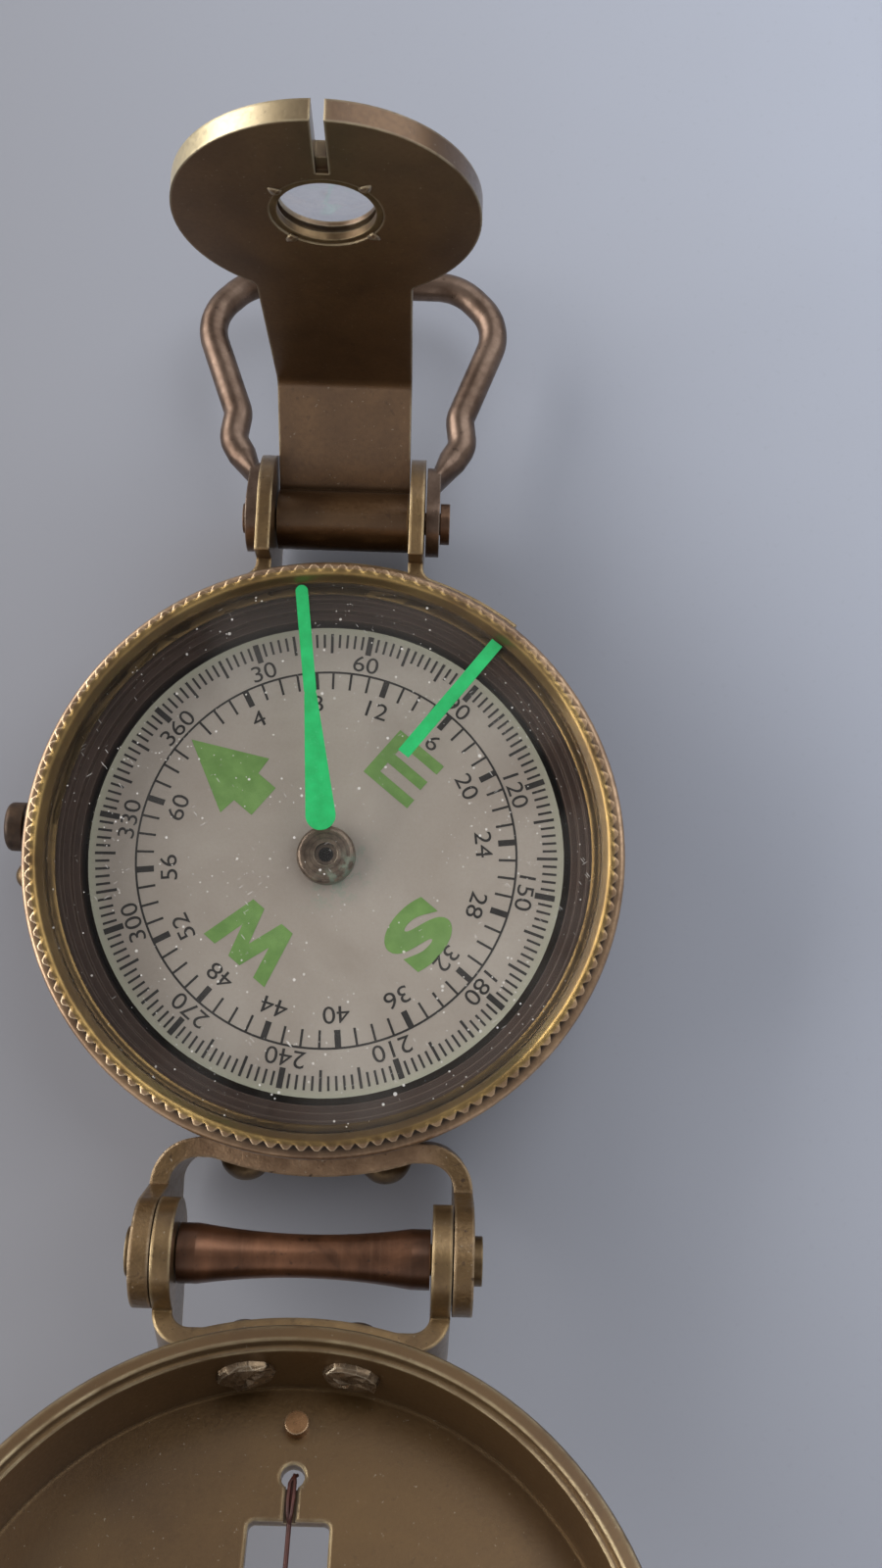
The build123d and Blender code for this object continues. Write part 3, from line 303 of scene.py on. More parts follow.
PAINT = dict(
    dark=tone(88, 64, 41), light=tone(110, 82, 53), edge=tone(214, 198, 162), metallic=0.8, rough=0.37,
    grain=2600.0, patch=120.0, wear=0.75, edge_radius=0.28 * MM, flecks=0.3, dust=0.25, coat=0.55,
)
paint = aged_metal("satin_bronze_paint", **PAINT)
# The lens arm's paint, with a painted highlight on the upper left rim of its disc
arm_paint_with_highlight = aged_metal("satin_bronze_arm_painted_highlight", **PAINT, local=rubbed_rim)
strap_paint = aged_metal(
    "satin_bronze_straps", dark=tone(104, 81, 52), light=tone(142, 115, 76), edge=tone(206, 184, 144),
    metallic=0.86, rough=0.34, grain=2400.0, patch=260.0, wear=0.8, edge_radius=0.4 * MM,
    bump_strength=0.22, flecks=0.45, dust=0.3, coat=0.6,
)
lid_paint = aged_metal(
    "satin_bronze_lid", dark=tone(90, 66, 37), light=tone(107, 81, 46), edge=tone(214, 196, 156),
    metallic=0.8, rough=0.36, grain=3000.0, patch=70.0, wear=0.8, edge_radius=0.5 * MM,
    flecks=0.2, dust=0.3, coat=0.7,
)
case_strap = aged_metal(
    "pitted_case_strap", dark=tone(134, 106, 80), light=tone(178, 146, 114), edge=tone(214, 190, 158),
    metallic=0.8, rough=0.42, grain=1700.0, patch=320.0, wear=0.7, edge_radius=0.4 * MM,
    bump_strength=0.9, flecks=0.9, dust=0.7, coat=0.4, local=olive_arms,
)
copper = aged_metal(
    "coppery_patina", dark=tone(72, 52, 40), light=tone(116, 88, 68), edge=tone(164, 138, 112),
    metallic=0.8, rough=0.36, grain=1800.0, patch=260.0, wear=0.6, flecks=0.5,
)
loop_metal = aged_metal(
    "worn_loop_wire", dark=tone(84, 66, 54), light=tone(126, 106, 92), edge=tone(176, 160, 144),
    metallic=0.8, rough=0.34, grain=1600.0, patch=200.0, wear=0.6, flecks=0.5,
)
rivet_metal = aged_metal(
    "rivet_brass", dark=tone(88, 70, 48), light=tone(124, 102, 72), edge=tone(196, 174, 134),
    metallic=0.8, rough=0.36, grain=2000.0, patch=350.0, wear=0.7, flecks=0.4,
)
hammered = aged_metal(
    "hammered_rivet_end", dark=tone(92, 76, 60), light=tone(138, 118, 94), edge=tone(226, 214, 190),
    metallic=0.85, rough=0.28, grain=1500.0, patch=900.0, wear=0.7, bump_strength=0.3,
)
stud_copper = aged_metal(
    "stud_copper", dark=tone(112, 82, 54), light=tone(160, 120, 84), edge=tone(218, 194, 162),
    metallic=0.85, rough=0.26, grain=1800.0, patch=600.0, wear=0.8,
)
dark_knob = aged_metal(
    "dark_knob", dark=tone(48, 35, 26), light=tone(86, 66, 49), edge=tone(132, 108, 82),
    metallic=0.6, rough=0.45, grain=2200.0, patch=400.0, wear=0.5, flecks=0.4,
)
turned_brass = aged_metal(
    "turned_brass", dark=tone(110, 92, 64), light=tone(160, 138, 100), edge=tone(200, 180, 142),
    metallic=0.95, rough=0.3, grain=1800.0, patch=500.0, wear=0.7,
)
bare_steel = aged_metal(
    "bare_steel", dark=(0.18, 0.18, 0.18), light=(0.4, 0.4, 0.4), edge=(0.6, 0.6, 0.6),
    metallic=1.0, rough=0.3, grain=1500.0, patch=300.0, wear=0.6,
)
wire_red = aged_metal(
    "sight_wire_brown", dark=tone(58, 28, 22), light=tone(86, 44, 34), edge=tone(112, 68, 54),
    metallic=0.3, rough=0.45, grain=2500.0, patch=600.0, wear=0.4, edge_radius=0.05 * MM,
)

# Bezel: where its looks change, out from the axis, and where the painted highlight on its rubbed edges
# fades, across
CROWN_FROM = 24.0 * MM
CROWN_FULL = 23.8 * MM
BEAD_FULL = 23.85 * MM
BEVEL_FROM = 23.48 * MM
BEVEL_FULL = 23.34 * MM
NOTCH_ROUNDING = 0.22 * MM
BEAD_ROUNDING = 0.6 * MM
NOTCH_OPENNESS_REACH = 0.7 * MM
PAINTED_HIGHLIGHT_FULL_X = -22.0 * MM
PAINTED_HIGHLIGHT_LOW_X = 12.0 * MM


def bezel_material():
    """Coppery skirt and notches, rubbed gold on the rounded crown, dull gold on the bevel inside; rubbed
    edges paler on the left as a painted highlight, and painted shade in the notches.
    """
    material, tree, output = new_material("bezel_patina_brass")
    where = coordinates(tree)
    broad = noise(tree, where, scale=180.0, detail=5.0, roughness=0.62, distortion=0.5)
    patches = remap(tree, broad, low=0.36, high=0.66)
    fine = noise(tree, where, scale=2400.0, detail=3.0, roughness=0.6)
    color = mix(tree, patches, tone(126, 98, 72), tone(180, 148, 114))
    color = mix(tree, remap(tree, fine, low=0.45, high=0.75, to_high=0.4), color, tone(86, 62, 45))
    radius = radius_of(tree, where)
    rounding = remap(tree, radius, CROWN_FROM, BEAD_FULL, to_low=NOTCH_ROUNDING, to_high=BEAD_ROUNDING)
    normal = rounded_normal(tree, rounding, samples=8)
    free = openness(tree, NOTCH_OPENNESS_REACH)
    x, _, _ = axes(tree, where)
    worn = remap(tree, noise(tree, where, scale=500.0), low=0.32, high=0.6, to_low=0.3, to_high=0.85)
    # Painted highlight: the pale rubbed edges are strongest on the left, where the window lamp shines,
    # and fade towards the right
    worn = times(tree, worn, remap(tree, x, PAINTED_HIGHLIGHT_FULL_X, PAINTED_HIGHLIGHT_LOW_X, to_low=1.0, to_high=0.3))
    color = mix(tree, rubbed_edges(tree, normal, free, worn), color, tone(234, 212, 178))
    crown = remap(tree, radius, CROWN_FROM, CROWN_FULL)
    color = mix(tree, crown, color, mix(tree, patches, tone(118, 91, 50), tone(178, 147, 88)))
    bevel = remap(tree, radius, BEVEL_FROM, BEVEL_FULL)
    color = mix(tree, times(tree, bevel, 0.7), color, tone(92, 72, 43))
    # Painted shade: the notches and other hollows are darkened towards near black by how closed in they
    # are
    color = mix(tree, remap(tree, free, low=0.88, high=0.5, to_high=0.92), color, tone(34, 23, 16))
    dull = remap(tree, fine, low=0.3, high=0.7, to_low=0.33, to_high=0.48)
    bright = remap(tree, fine, low=0.3, high=0.7, to_low=0.13, to_high=0.2)
    principled(tree, output, color, plain=tone(130, 102, 74), metallic=0.85,
               roughness=mix_values(tree, crown, dull, bright),
               normal=bump(tree, fine, strength=0.1, distance=0.1 * MM, normal=normal), coat=0.8)
    return material


SPOOL_RINGS_PER_METRE = 2600.0
SPOOL_END_FROM = 7.4 * MM
SPOOL_END_FULL = 9.2 * MM


def spool_material():
    """Turned copper-brown spool, dark at the ends, with faint rings and a few spots."""
    material, tree, output = new_material("spool_copper")
    where = coordinates(tree)
    x, _, _ = axes(tree, where)
    ring_noise = add(tree, "ShaderNodeTexNoise", noise_dimensions="1D")
    put(tree, times(tree, x, SPOOL_RINGS_PER_METRE), ring_noise.inputs["W"])
    ring_noise.inputs["Scale"].default_value = 1.0
    rings = ring_noise.outputs["Fac"]
    broad = noise(tree, where, scale=260.0, detail=5.0, roughness=0.6, distortion=0.5)
    patches = remap(tree, broad, low=0.35, high=0.66)
    color = mix(tree, patches, tone(88, 58, 40), tone(132, 90, 64))
    color = mix(tree, remap(tree, rings, low=0.5, high=0.8, to_high=0.1), color, tone(140, 106, 82))
    ends = remap(tree, maths(tree, "ABSOLUTE", x), SPOOL_END_FROM, SPOOL_END_FULL, to_high=0.65)
    color = mix(tree, ends, color, tone(58, 41, 31))
    spots = noise(tree, where, scale=1300.0, detail=3.0)
    color = mix(tree, remap(tree, spots, low=0.64, high=0.72, to_high=0.6), color, tone(52, 40, 34))
    normal = rounded_normal(tree, 0.15 * MM)
    color = mix(tree, times(tree, edge_share(tree, normal), 0.6), color, tone(166, 138, 110))
    roughness = remap(tree, rings, low=0.3, high=0.7, to_low=0.31, to_high=0.35)
    principled(tree, output, color, plain=tone(112, 79, 58), metallic=0.85, roughness=roughness,
               normal=bump(tree, rings, strength=0.012, distance=0.1 * MM, normal=normal), coat=0.3)
    return material


# Dial, glass and lens

def well_material():
    """Dark brown satin paint with a faint line round each step."""
    material, tree, output = new_material("dark_well_paint")
    where = coordinates(tree)
    fine = noise(tree, where, scale=1800.0, detail=3.0)
    patches = remap(tree, noise(tree, where, scale=200.0), low=0.35, high=0.65)
    color = mix(tree, patches, tone(56, 41, 34), tone(66, 49, 41))
    normal = rounded_normal(tree, 0.12 * MM, samples=16)
    color = mix(tree, times(tree, edge_share(tree, normal), 0.25), color, tone(116, 100, 86))
    color = mix(tree, remap(tree, fine, low=0.7, high=0.78, to_high=0.3), color, tone(104, 90, 78))
    roughness = remap(tree, fine, low=0.3, high=0.7, to_low=0.48, to_high=0.58)
    principled(tree, output, color, plain=tone(60, 45, 38), metallic=0.0, roughness=roughness,
               normal=bump(tree, fine, strength=0.03, distance=0.1 * MM, normal=normal), specular=0.3)
    return material


VERDIGRIS_FROM = 0.8 * MM
VERDIGRIS_FULL = 3.0 * MM


def verdigris_side(tree, where):
    """1 on the side of the dial where the hub has gone green, 0 on the other."""
    x, y, _ = axes(tree, where)
    return remap(tree, maths(tree, "SUBTRACT", x, y), VERDIGRIS_FROM, VERDIGRIS_FULL)


# Card: where its tones start and are full, out from the axis
CARD_RIM_LIGHT = (18.8 * MM, 20.2 * MM)
CARD_MIDDLE = (6.0 * MM, 3.0 * MM)
CARD_STAIN = (5.2 * MM, 2.6 * MM)


def card_material():
    """Warm cream-grey card, clouded, with painted light on its rim: pale greenish, as light through the
    edge of the glass.
    """
    material, tree, output = new_material("dial_card_paper")
    where = coordinates(tree)
    clouds = noise(tree, where, scale=55.0, detail=4.0, roughness=0.55, distortion=0.6)
    grain = noise(tree, where, scale=4200.0, detail=2.0)
    color = mix(tree, remap(tree, clouds, low=0.35, high=0.68), tone(154, 145, 136), tone(173, 166, 158))
    color = mix(tree, remap(tree, grain, low=0.4, high=0.7, to_high=0.12), color, tone(144, 132, 120))
    radius = radius_of(tree, where)
    # Painted light: a pale greenish band round the card's rim
    color = mix(tree, remap(tree, radius, *CARD_RIM_LIGHT, to_high=0.5), color, tone(172, 180, 154))
    color = mix(tree, remap(tree, radius, *CARD_MIDDLE, to_high=0.4), color, tone(140, 131, 124))
    blots = remap(tree, noise(tree, where, scale=1100.0, detail=6.0, roughness=0.75), low=0.5, high=0.58)
    stain = times(tree, verdigris_side(tree, where), remap(tree, radius, *CARD_STAIN))
    color = mix(tree, times(tree, times(tree, stain, blots), 0.75), color, tone(128, 146, 132))
    roughness = remap(tree, grain, low=0.3, high=0.7, to_low=0.55, to_high=0.7)
    principled(tree, output, color, plain=tone(174, 165, 155), metallic=0.0, roughness=roughness,
               normal=bump(tree, grain, strength=0.05, distance=0.05 * MM))
    return material


def ink_material(name, dark, light):
    """Slightly uneven printing ink."""
    material, tree, output = new_material(name)
    where = coordinates(tree)
    patches = remap(tree, noise(tree, where, scale=700.0, detail=3.0), low=0.35, high=0.66)
    grain = noise(tree, where, scale=5000.0, detail=2.0)
    roughness = remap(tree, grain, low=0.3, high=0.7, to_low=0.55, to_high=0.68)
    color = mix(tree, patches, dark, light)
    principled(tree, output, color, plain=light, metallic=0.0, roughness=roughness)
    return material


def luminous_material():
    """Green luminous paint, a little uneven, with lighter grains."""
    material, tree, output = new_material("luminous_green")
    where = coordinates(tree)
    patches = remap(tree, noise(tree, where, scale=600.0, detail=4.0), low=0.35, high=0.66)
    grain = noise(tree, where, scale=6000.0, detail=2.0)
    color = mix(tree, patches, tone(14, 160, 84), tone(24, 182, 100))
    color = mix(tree, remap(tree, grain, low=0.62, high=0.72, to_high=0.3), color, tone(70, 200, 130))
    roughness = remap(tree, grain, low=0.3, high=0.7, to_low=0.4, to_high=0.6)
    principled(tree, output, color, plain=tone(20, 172, 94), metallic=0.0, roughness=roughness,
               normal=bump(tree, grain, strength=0.1, distance=0.05 * MM))
    return material


HUB_RING_WAVE = 15000.0


def hub_material():
    """Worn dark brass hub with turned rings, a painted highlight along its edges, and patches of green
    verdigris on one side.
    """
    material, tree, output = new_material("hub_worn_brass")
    where = coordinates(tree)
    broad = noise(tree, where, scale=700.0, detail=5.0, roughness=0.65)
    color = mix(tree, remap(tree, broad, low=0.36, high=0.64), tone(84, 71, 61), tone(134, 118, 103))
    rings = maths(tree, "SINE", times(tree, radius_of(tree, where), HUB_RING_WAVE))
    color = mix(tree, remap(tree, rings, low=0.2, high=1.0, to_high=0.35), color, tone(56, 46, 40))
    normal = rounded_normal(tree, 0.15 * MM)
    # Painted highlight: pale colour along the hub's rounded edges
    color = mix(tree, times(tree, edge_share(tree, normal), 0.7), color, tone(168, 154, 134))
    patchy = noise(tree, where, scale=900.0, detail=6.0, roughness=0.7)
    green = times(tree, verdigris_side(tree, where), remap(tree, patchy, low=0.46, high=0.56))
    color = mix(tree, times(tree, green, 0.8), color, tone(130, 148, 132))
    roughness = remap(tree, green, low=0.0, high=1.0, to_low=0.32, to_high=0.8)
    dents = noise(tree, where, scale=1800.0)
    principled(tree, output, color, plain=tone(108, 94, 81), metallic=0.7, roughness=roughness,
               normal=bump(tree, dents, strength=0.15, distance=0.12 * MM, normal=normal))
    return material


JEWEL_CUP_SHADE = (0.68 * MM, 0.58 * MM)


def jewel_material():
    """Brown stone with painted shade, near black, in the cup in its middle, and a paler polished rim."""
    material, tree, output = new_material("dark_jewel")
    where = coordinates(tree)
    patches = remap(tree, noise(tree, where, scale=1500.0, detail=3.0), low=0.35, high=0.66)
    color = mix(tree, patches, tone(84, 71, 61), tone(116, 101, 88))
    # Painted shade: near black where the cup's hole would lie in shade
    color = mix(tree, remap(tree, radius_of(tree, where), *JEWEL_CUP_SHADE), color, tone(12, 9, 8))
    roughness = remap(tree, patches, low=0.0, high=1.0, to_low=0.18, to_high=0.28)
    principled(tree, output, color, plain=tone(60, 50, 44), metallic=0.3, roughness=roughness)
    return material


LEAST_GLOSS = 0.014


def clear_sheet(tree, tint, gloss_color, gloss_rough, blend):
    """A see-through shader with gloss that grows towards grazing angles."""
    clear = add(tree, "ShaderNodeBsdfTransparent")
    clear.inputs["Color"].default_value = (*tint, 1)
    gloss = add(tree, "ShaderNodeBsdfGlossy")
    gloss.inputs["Roughness"].default_value = gloss_rough
    gloss.inputs["Color"].default_value = (*gloss_color, 1)
    facing = add(tree, "ShaderNodeLayerWeight")
    facing.inputs["Blend"].default_value = blend
    share = maths(tree, "ADD", facing.outputs["Facing"], LEAST_GLOSS)
    return mix_shaders(tree, share, clear.outputs[0], gloss.outputs[0])


def dust_layer(tree, color):
    node = add(tree, "ShaderNodeBsdfDiffuse")
    node.inputs["Color"].default_value = (*color, 1)
    return node.outputs[0]


DASH_FLATTENING = 100.0


def dashes(tree, where, turn, across, along, density):
    """Short hairline scratches that lie one way."""
    turned = add(tree, "ShaderNodeMapping")
    put(tree, where, turned.inputs["Vector"])
    turned.inputs["Rotation"].default_value = (0, 0, turn)
    stretched = add(tree, "ShaderNodeMapping")
    put(tree, turned.outputs[0], stretched.inputs["Vector"])
    stretched.inputs["Scale"].default_value = (along, across, DASH_FLATTENING)
    size = noise(tree, where, scale=260.0, detail=3.0)
    size = remap(tree, size, low=0.5, high=0.8, to_high=density)
    return maths(tree, "LESS_THAN", cells(tree, stretched.outputs[0], 1.0), size)


def glass_material():
    """Clear sheet with gloss, a trace of haze, dust specks and short hairline scratches."""
    material, tree, output = new_material("scratched_clear_glass")
    where = coordinates(tree)
    sheet = clear_sheet(tree, tint=(0.985, 0.98, 0.97), gloss_color=(0.95, 0.94, 0.92),
                        gloss_rough=0.04, blend=0.03)
    size = remap(tree, noise(tree, where, scale=330.0, detail=3.0), low=0.37, high=0.72, to_high=0.15)
    specks = maths(tree, "LESS_THAN", cells(tree, where, 900.0), size)
    fine_size = noise(tree, where, scale=210.0, detail=3.0)
    fine_size = remap(tree, fine_size, low=0.43, high=0.73, to_high=0.14)
    fine_specks = maths(tree, "LESS_THAN", cells(tree, where, 1500.0), fine_size)
    specks = maths(tree, "MAXIMUM", specks, fine_specks)
    scratches = maths(tree, "MAXIMUM",
                      dashes(tree, where, turn=0.9, across=2600.0, along=420.0, density=0.2),
                      dashes(tree, where, turn=-0.6, across=2900.0, along=330.0, density=0.16))
    marks = maths(tree, "MAXIMUM", times(tree, specks, 0.68), times(tree, scratches, 0.4))
    haze = noise(tree, where, scale=50.0, detail=4.0, roughness=0.6, distortion=0.8)
    haze = remap(tree, haze, low=0.45, high=0.75, to_high=0.03)
    cover = maths(tree, "ADD", haze, marks)
    dusty = mix_shaders(tree, cover, sheet, dust_layer(tree, tone(222, 218, 212)))
    tree.links.new(dusty, output.inputs["Surface"])
    return material


def lens_material():
    """Clear lens: see-through, with gloss at its rim and a little dust."""
    material, tree, output = new_material("clear_lens")
    where = coordinates(tree)
    sheet = clear_sheet(tree, tint=(0.99, 0.99, 1.0), gloss_color=(0.9, 0.93, 0.95),
                        gloss_rough=0.03, blend=0.08)
    dust = remap(tree, noise(tree, where, scale=900.0, detail=4.0), low=0.5, high=0.9, to_high=0.06)
    dusty = mix_shaders(tree, dust, sheet, dust_layer(tree, tone(212, 218, 230)))
    tree.links.new(dusty, output.inputs["Surface"])
    return material


ink_black = ink_material("dial_ink_black", tone(22, 20, 20), tone(40, 37, 36))
ink_green = ink_material("dial_ink_green", tone(98, 138, 68), tone(112, 152, 80))

finish = {
    "case_cup": paint,
    "dial_well_ring": well_material(),
    "pivot_post": turned_brass,
    "pivot_needle": bare_steel,
    "bezel_ring": bezel_material(),
    "bezel_glass": glass_material(),
    "bezel_snap_ring": bare_steel,
    "luminous_lines": luminous_material(),
    "dial_card": card_material(),
    "dial_magnet": bare_steel,
    "dial_hub": hub_material(),
    "dial_jewel": jewel_material(),
    "lock_rivet": rivet_metal,
    "lock_lever": paint,
    "lock_knob": dark_knob,
    "lock_lifter": turned_brass,
    "eyepiece_bracket": strap_paint,
    "eyepiece_bracket_rivets": rivet_metal,
    "eyepiece_arm": arm_paint_with_highlight,
    "eyepiece_lens": lens_material(),
    "lens_ring": rivet_metal,
    "eyepiece_pin": copper,
    "thumb_loop": loop_metal,
    "case_hinge_bracket": case_strap,
    "case_hinge_rivets": rivet_metal,
    "lid_hinge_bracket": strap_paint,
    "lid_hinge_rivets": rivet_metal,
    "hinge_pin": rivet_metal,
    "hinge_spool": spool_material(),
    "lid_shell": lid_paint,
    "sighting_wire": wire_red,
    "lid_stud": stud_copper,
}
for name, material in finish.items():
    mesh = nodes[name].data
    mesh.materials.clear()
    mesh.materials.append(material)


# Added pieces

def add_piece(name, shape, material, body):
    """One object from a bmesh, riding on a body."""
    mesh = bpy.data.meshes.new(name)
    shape.to_mesh(mesh)
    shape.free()
    mesh.materials.append(material)
    piece = bpy.data.objects.new(name, mesh)
    scene.collection.objects.link(piece)
    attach(piece, body)


def add_solid(name, shape, material, body, smooth=False):
    bmesh.ops.recalc_face_normals(shape, faces=shape.faces)
    for face in shape.faces:
        face.smooth = smooth
    add_piece(name, shape, material, body)


# Dial print, in millimetres on the card, with north at heading degrees to the left of +Y
HEADING = 51.0
PRINT_LIFT = 0.02
PRINT_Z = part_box("dial_card")[1].z / MM + PRINT_LIFT
SAME_POINT = 1e-7


def dial_point(across, out, bearing):
    """A point out millimetres from the middle along a bearing, and across to its right."""
    angle = math.radians(90 + HEADING - bearing)
    return Vector((
        out * math.cos(angle) + across * math.sin(angle),
        out * math.sin(angle) - across * math.cos(angle),
        PRINT_Z,
    )) * MM


def add_print(name, faces, material):
    """One flat printed piece from a list of faces, each a list of (across, out, bearing)."""
    shape = bmesh.new()
    for face in faces:
        shape.faces.new([shape.verts.new(dial_point(*corner)) for corner in face])
    bmesh.ops.remove_doubles(shape, verts=shape.verts, dist=SAME_POINT)
    bmesh.ops.recalc_face_normals(shape, faces=shape.faces)
    for face in shape.faces:
        if face.normal.z < 0:
            face.normal_flip()
    add_piece(name, shape, material, "dial")


def bar(bearing, inner, outer, width):
    half = width / 2
    corners = ((-half, inner), (half, inner), (half, outer), (-half, outer))
    return [(across, out, bearing) for across, out in corners]


# Ticks of the two scales: inner end, outer end, width
NUMBERED_TICK = (18.0, 19.7, 0.5)
TEN_DEGREE_TICK = (17.9, 19.65, 0.24)
DEGREE_TICK = (18.4, 19.6, 0.2)
NUMBERED_UNIT_TICK = (14.65, 16.08, 0.52)
UNIT_TICK = (14.65, 16.08, 0.2)
DEGREES_PER_TICK = 2
DEGREES_PER_FIGURE = 30
UNITS = 64
UNITS_PER_FIGURE = 4
DEGREES_PER_UNIT = 360 / UNITS
RING_INNER = 16.07
RING_OUTER = 16.25

ticks = []
for degree in range(0, 360, DEGREES_PER_TICK):
    if degree % DEGREES_PER_FIGURE == 0:
        ticks.append(bar(degree, *NUMBERED_TICK))
    elif degree % 10 == 0:
        ticks.append(bar(degree, *TEN_DEGREE_TICK))
    else:
        ticks.append(bar(degree, *DEGREE_TICK))
for unit in range(1, UNITS):
    tick = UNIT_TICK if unit % UNITS_PER_FIGURE else NUMBERED_UNIT_TICK
    ticks.append(bar(unit * DEGREES_PER_UNIT, *tick))
for start in range(0, 360, DEGREES_PER_TICK):
    end = start + DEGREES_PER_TICK
    ticks.append([
        (0, RING_INNER, start), (0, RING_OUTER, start), (0, RING_OUTER, end), (0, RING_INNER, end),
    ])
add_print("dial_scale_print", ticks, ink_black)

FIGURE_STRETCH = 1.15


def figure_faces(text, height, out, bearing, width=None, weight=0.0):
    """Faces of a number or letter, its top pointing outwards, centred at out along the bearing."""
    curve = bpy.data.curves.new("figure", "FONT")
    curve.body = text
    curve.align_x = "LEFT"
    curve.offset = weight
    holder = bpy.data.objects.new("figure", curve)
    scene.collection.objects.link(holder)
    bpy.context.view_layer.update()
    evaluated = holder.evaluated_get(bpy.context.evaluated_depsgraph_get())
    mesh = bpy.data.meshes.new_from_object(evaluated)
    xs = [vertex.co.x for vertex in mesh.vertices]
    ys = [vertex.co.y for vertex in mesh.vertices]
    tall = height / (max(ys) - min(ys))
    wide = width / (max(xs) - min(xs)) if width else tall * FIGURE_STRETCH
    middle_x = (max(xs) + min(xs)) / 2
    middle_y = (max(ys) + min(ys)) / 2
    places = [((x - middle_x) * wide, out + (y - middle_y) * tall, bearing) for x, y in zip(xs, ys)]
    faces = [[places[i] for i in polygon.vertices] for polygon in mesh.polygons]
    bpy.data.objects.remove(holder)
    bpy.data.curves.remove(curve)
    bpy.data.meshes.remove(mesh)
    return faces


FIGURE_HEIGHT = 1.42
DEGREE_FIGURES_OUT = 17.15
UNIT_FIGURES_OUT = 13.4

figures = []
for degree in range(DEGREES_PER_FIGURE, 361, DEGREES_PER_FIGURE):
    figures += figure_faces(str(degree), FIGURE_HEIGHT, DEGREE_FIGURES_OUT, degree)
for unit in range(UNITS_PER_FIGURE, UNITS, UNITS_PER_FIGURE):
    figures += figure_faces(str(unit), FIGURE_HEIGHT, UNIT_FIGURES_OUT, unit * DEGREES_PER_UNIT)
add_print("dial_figures", figures, ink_black)

# Arrow and letters: places across and out, the letters' from their own middles
ARROW = (
    ((0, 15.55), (-3.12, 9.35), (-1.55, 9.2), (1.55, 9.2), (3.12, 9.35)),
    ((-1.55, 9.2), (-1.55, 7.2), (1.55, 7.2), (1.55, 9.2)),
)
LETTER_E_OUT = 10.0
LETTER_E = (
    (-2.48, -2.42, -1.4, 2.42), (-1.4, 1.47, 2.48, 2.42),
    (-1.4, -0.47, 2.3, 0.47), (-1.4, -2.42, 2.48, -1.47),
)
LETTER_W_OUT = 9.25
LETTER_W = (
    (-3.43, 2.45), (-2.17, 2.45), (-1.50, -0.28), (-0.63, 2.45), (0.63, 2.45), (1.50, -0.28),
    (2.17, 2.45), (3.43, 2.45), (2.23, -2.45), (0.97, -2.45), (0.0, 0.60), (-0.97, -2.45),
    (-2.23, -2.45),
)
EAST = 90
SOUTH = 180
WEST = 270

letters = [[(across, out, 0) for across, out in face] for face in ARROW]
for left, bottom, right, top in LETTER_E:
    corners = ((left, bottom), (right, bottom), (right, top), (left, top))
    letters.append([(x, LETTER_E_OUT + y, EAST) for x, y in corners])
letters.append([(x, LETTER_W_OUT + y, WEST) for x, y in LETTER_W])
letters += figure_faces("S", height=4.95, out=10.3, bearing=SOUTH, width=5.3, weight=0.055)
add_print("dial_letters", letters, ink_green)

# Four burrs staked over the lens ring: radial, sideways and outward places of one burr, in millimetres
DISC_FRONT = 41.5
BURR_TURNS = (48, 143, 230, 320)
BURR = (
    (4.95, 0.0, -0.02), (4.62, -0.28, 0.03), (4.62, 0.28, 0.03), (4.28, -0.42, 0.08), (4.28, 0.42, 0.08),
    (4.3, 0.0, 0.2), (3.9, -0.34, 0.0), (3.9, 0.34, 0.0), (3.86, 0.0, 0.06), (3.98, -0.3, -0.18),
    (3.98, 0.3, -0.18), (4.72, 0.0, 0.1),
)
burrs = bmesh.new()
for turn in BURR_TURNS:
    c = math.cos(math.radians(turn))
    s = math.sin(math.radians(turn))
    corners = [
        burrs.verts.new(Vector((r * c - t * s, DISC_FRONT - out, LENS_Z / MM + r * s + t * c)) * MM)
        for r, t, out in BURR
    ]
    bmesh.ops.convex_hull(burrs, input=corners)
add_solid("lens_stakes", burrs, paint, "eyepiece")

# Lid: place of its hinge, how far it is open, and the radius of its inner wall
LID_HINGE_Y = -32.3
LID_HINGE_Z = 14.0
LID_OPENING = math.radians(145.5)
LID_INNER_RADIUS = 24.95


def lid_point(x, y, z):
    """A place on the lid, given in millimetres as if the lid were closed."""
    along = y - LID_HINGE_Y
    up = z - LID_HINGE_Z
    c = math.cos(LID_OPENING)
    s = math.sin(LID_OPENING)
    return Vector((x, LID_HINGE_Y + along * c - up * s, LID_HINGE_Z + along * s + up * c)) * MM


# Uneven factors and offsets, so that no two corners of the rivet ends get the same number
SINE_FACTORS = (12.9898, 78.233)
COSINE_FACTORS = (39.425, 4.17)
SIDE_OFFSET = 3.7
RING_OFFSET = 1.3


def unevenness(a, b):
    """A repeatable small number between -1 and 1."""
    wave = math.sin(SINE_FACTORS[0] * a + SINE_FACTORS[1] * b)
    return wave * math.cos(COSINE_FACTORS[0] * b - COSINE_FACTORS[1] * a)


# Hammered rivet ends inside the lid: radius of each ring and its height above the wall, in millimetres
END_RINGS = ((0.55, 0.78), (1.1, 0.7), (1.55, 0.6), (1.72, 0.34), (1.84, -0.14))
UNEVEN_RINGS = (1, 2)
TOP_RINGS = 3
END_SIDES = 14
END_WIDENING = 1.3
END_ANGLE = math.radians(9.4)
END_Z = 17.85
END_MIDDLE = 0.62
END_LEAN = 0.1
TURN_PLAY = 0.12
TOP_PLAY = 0.1
RIM_PLAY = 0.03
HEIGHT_PLAY = 0.14


def end_point(side, radius, height, turn):
    angle = END_ANGLE * side
    across = END_WIDENING * radius * math.cos(turn)
    reach = LID_INNER_RADIUS - height
    x = reach * math.sin(angle) + across * math.cos(angle)
    y = -reach * math.cos(angle) + across * math.sin(angle)
    return lid_point(x, y, END_Z + radius * math.sin(turn))


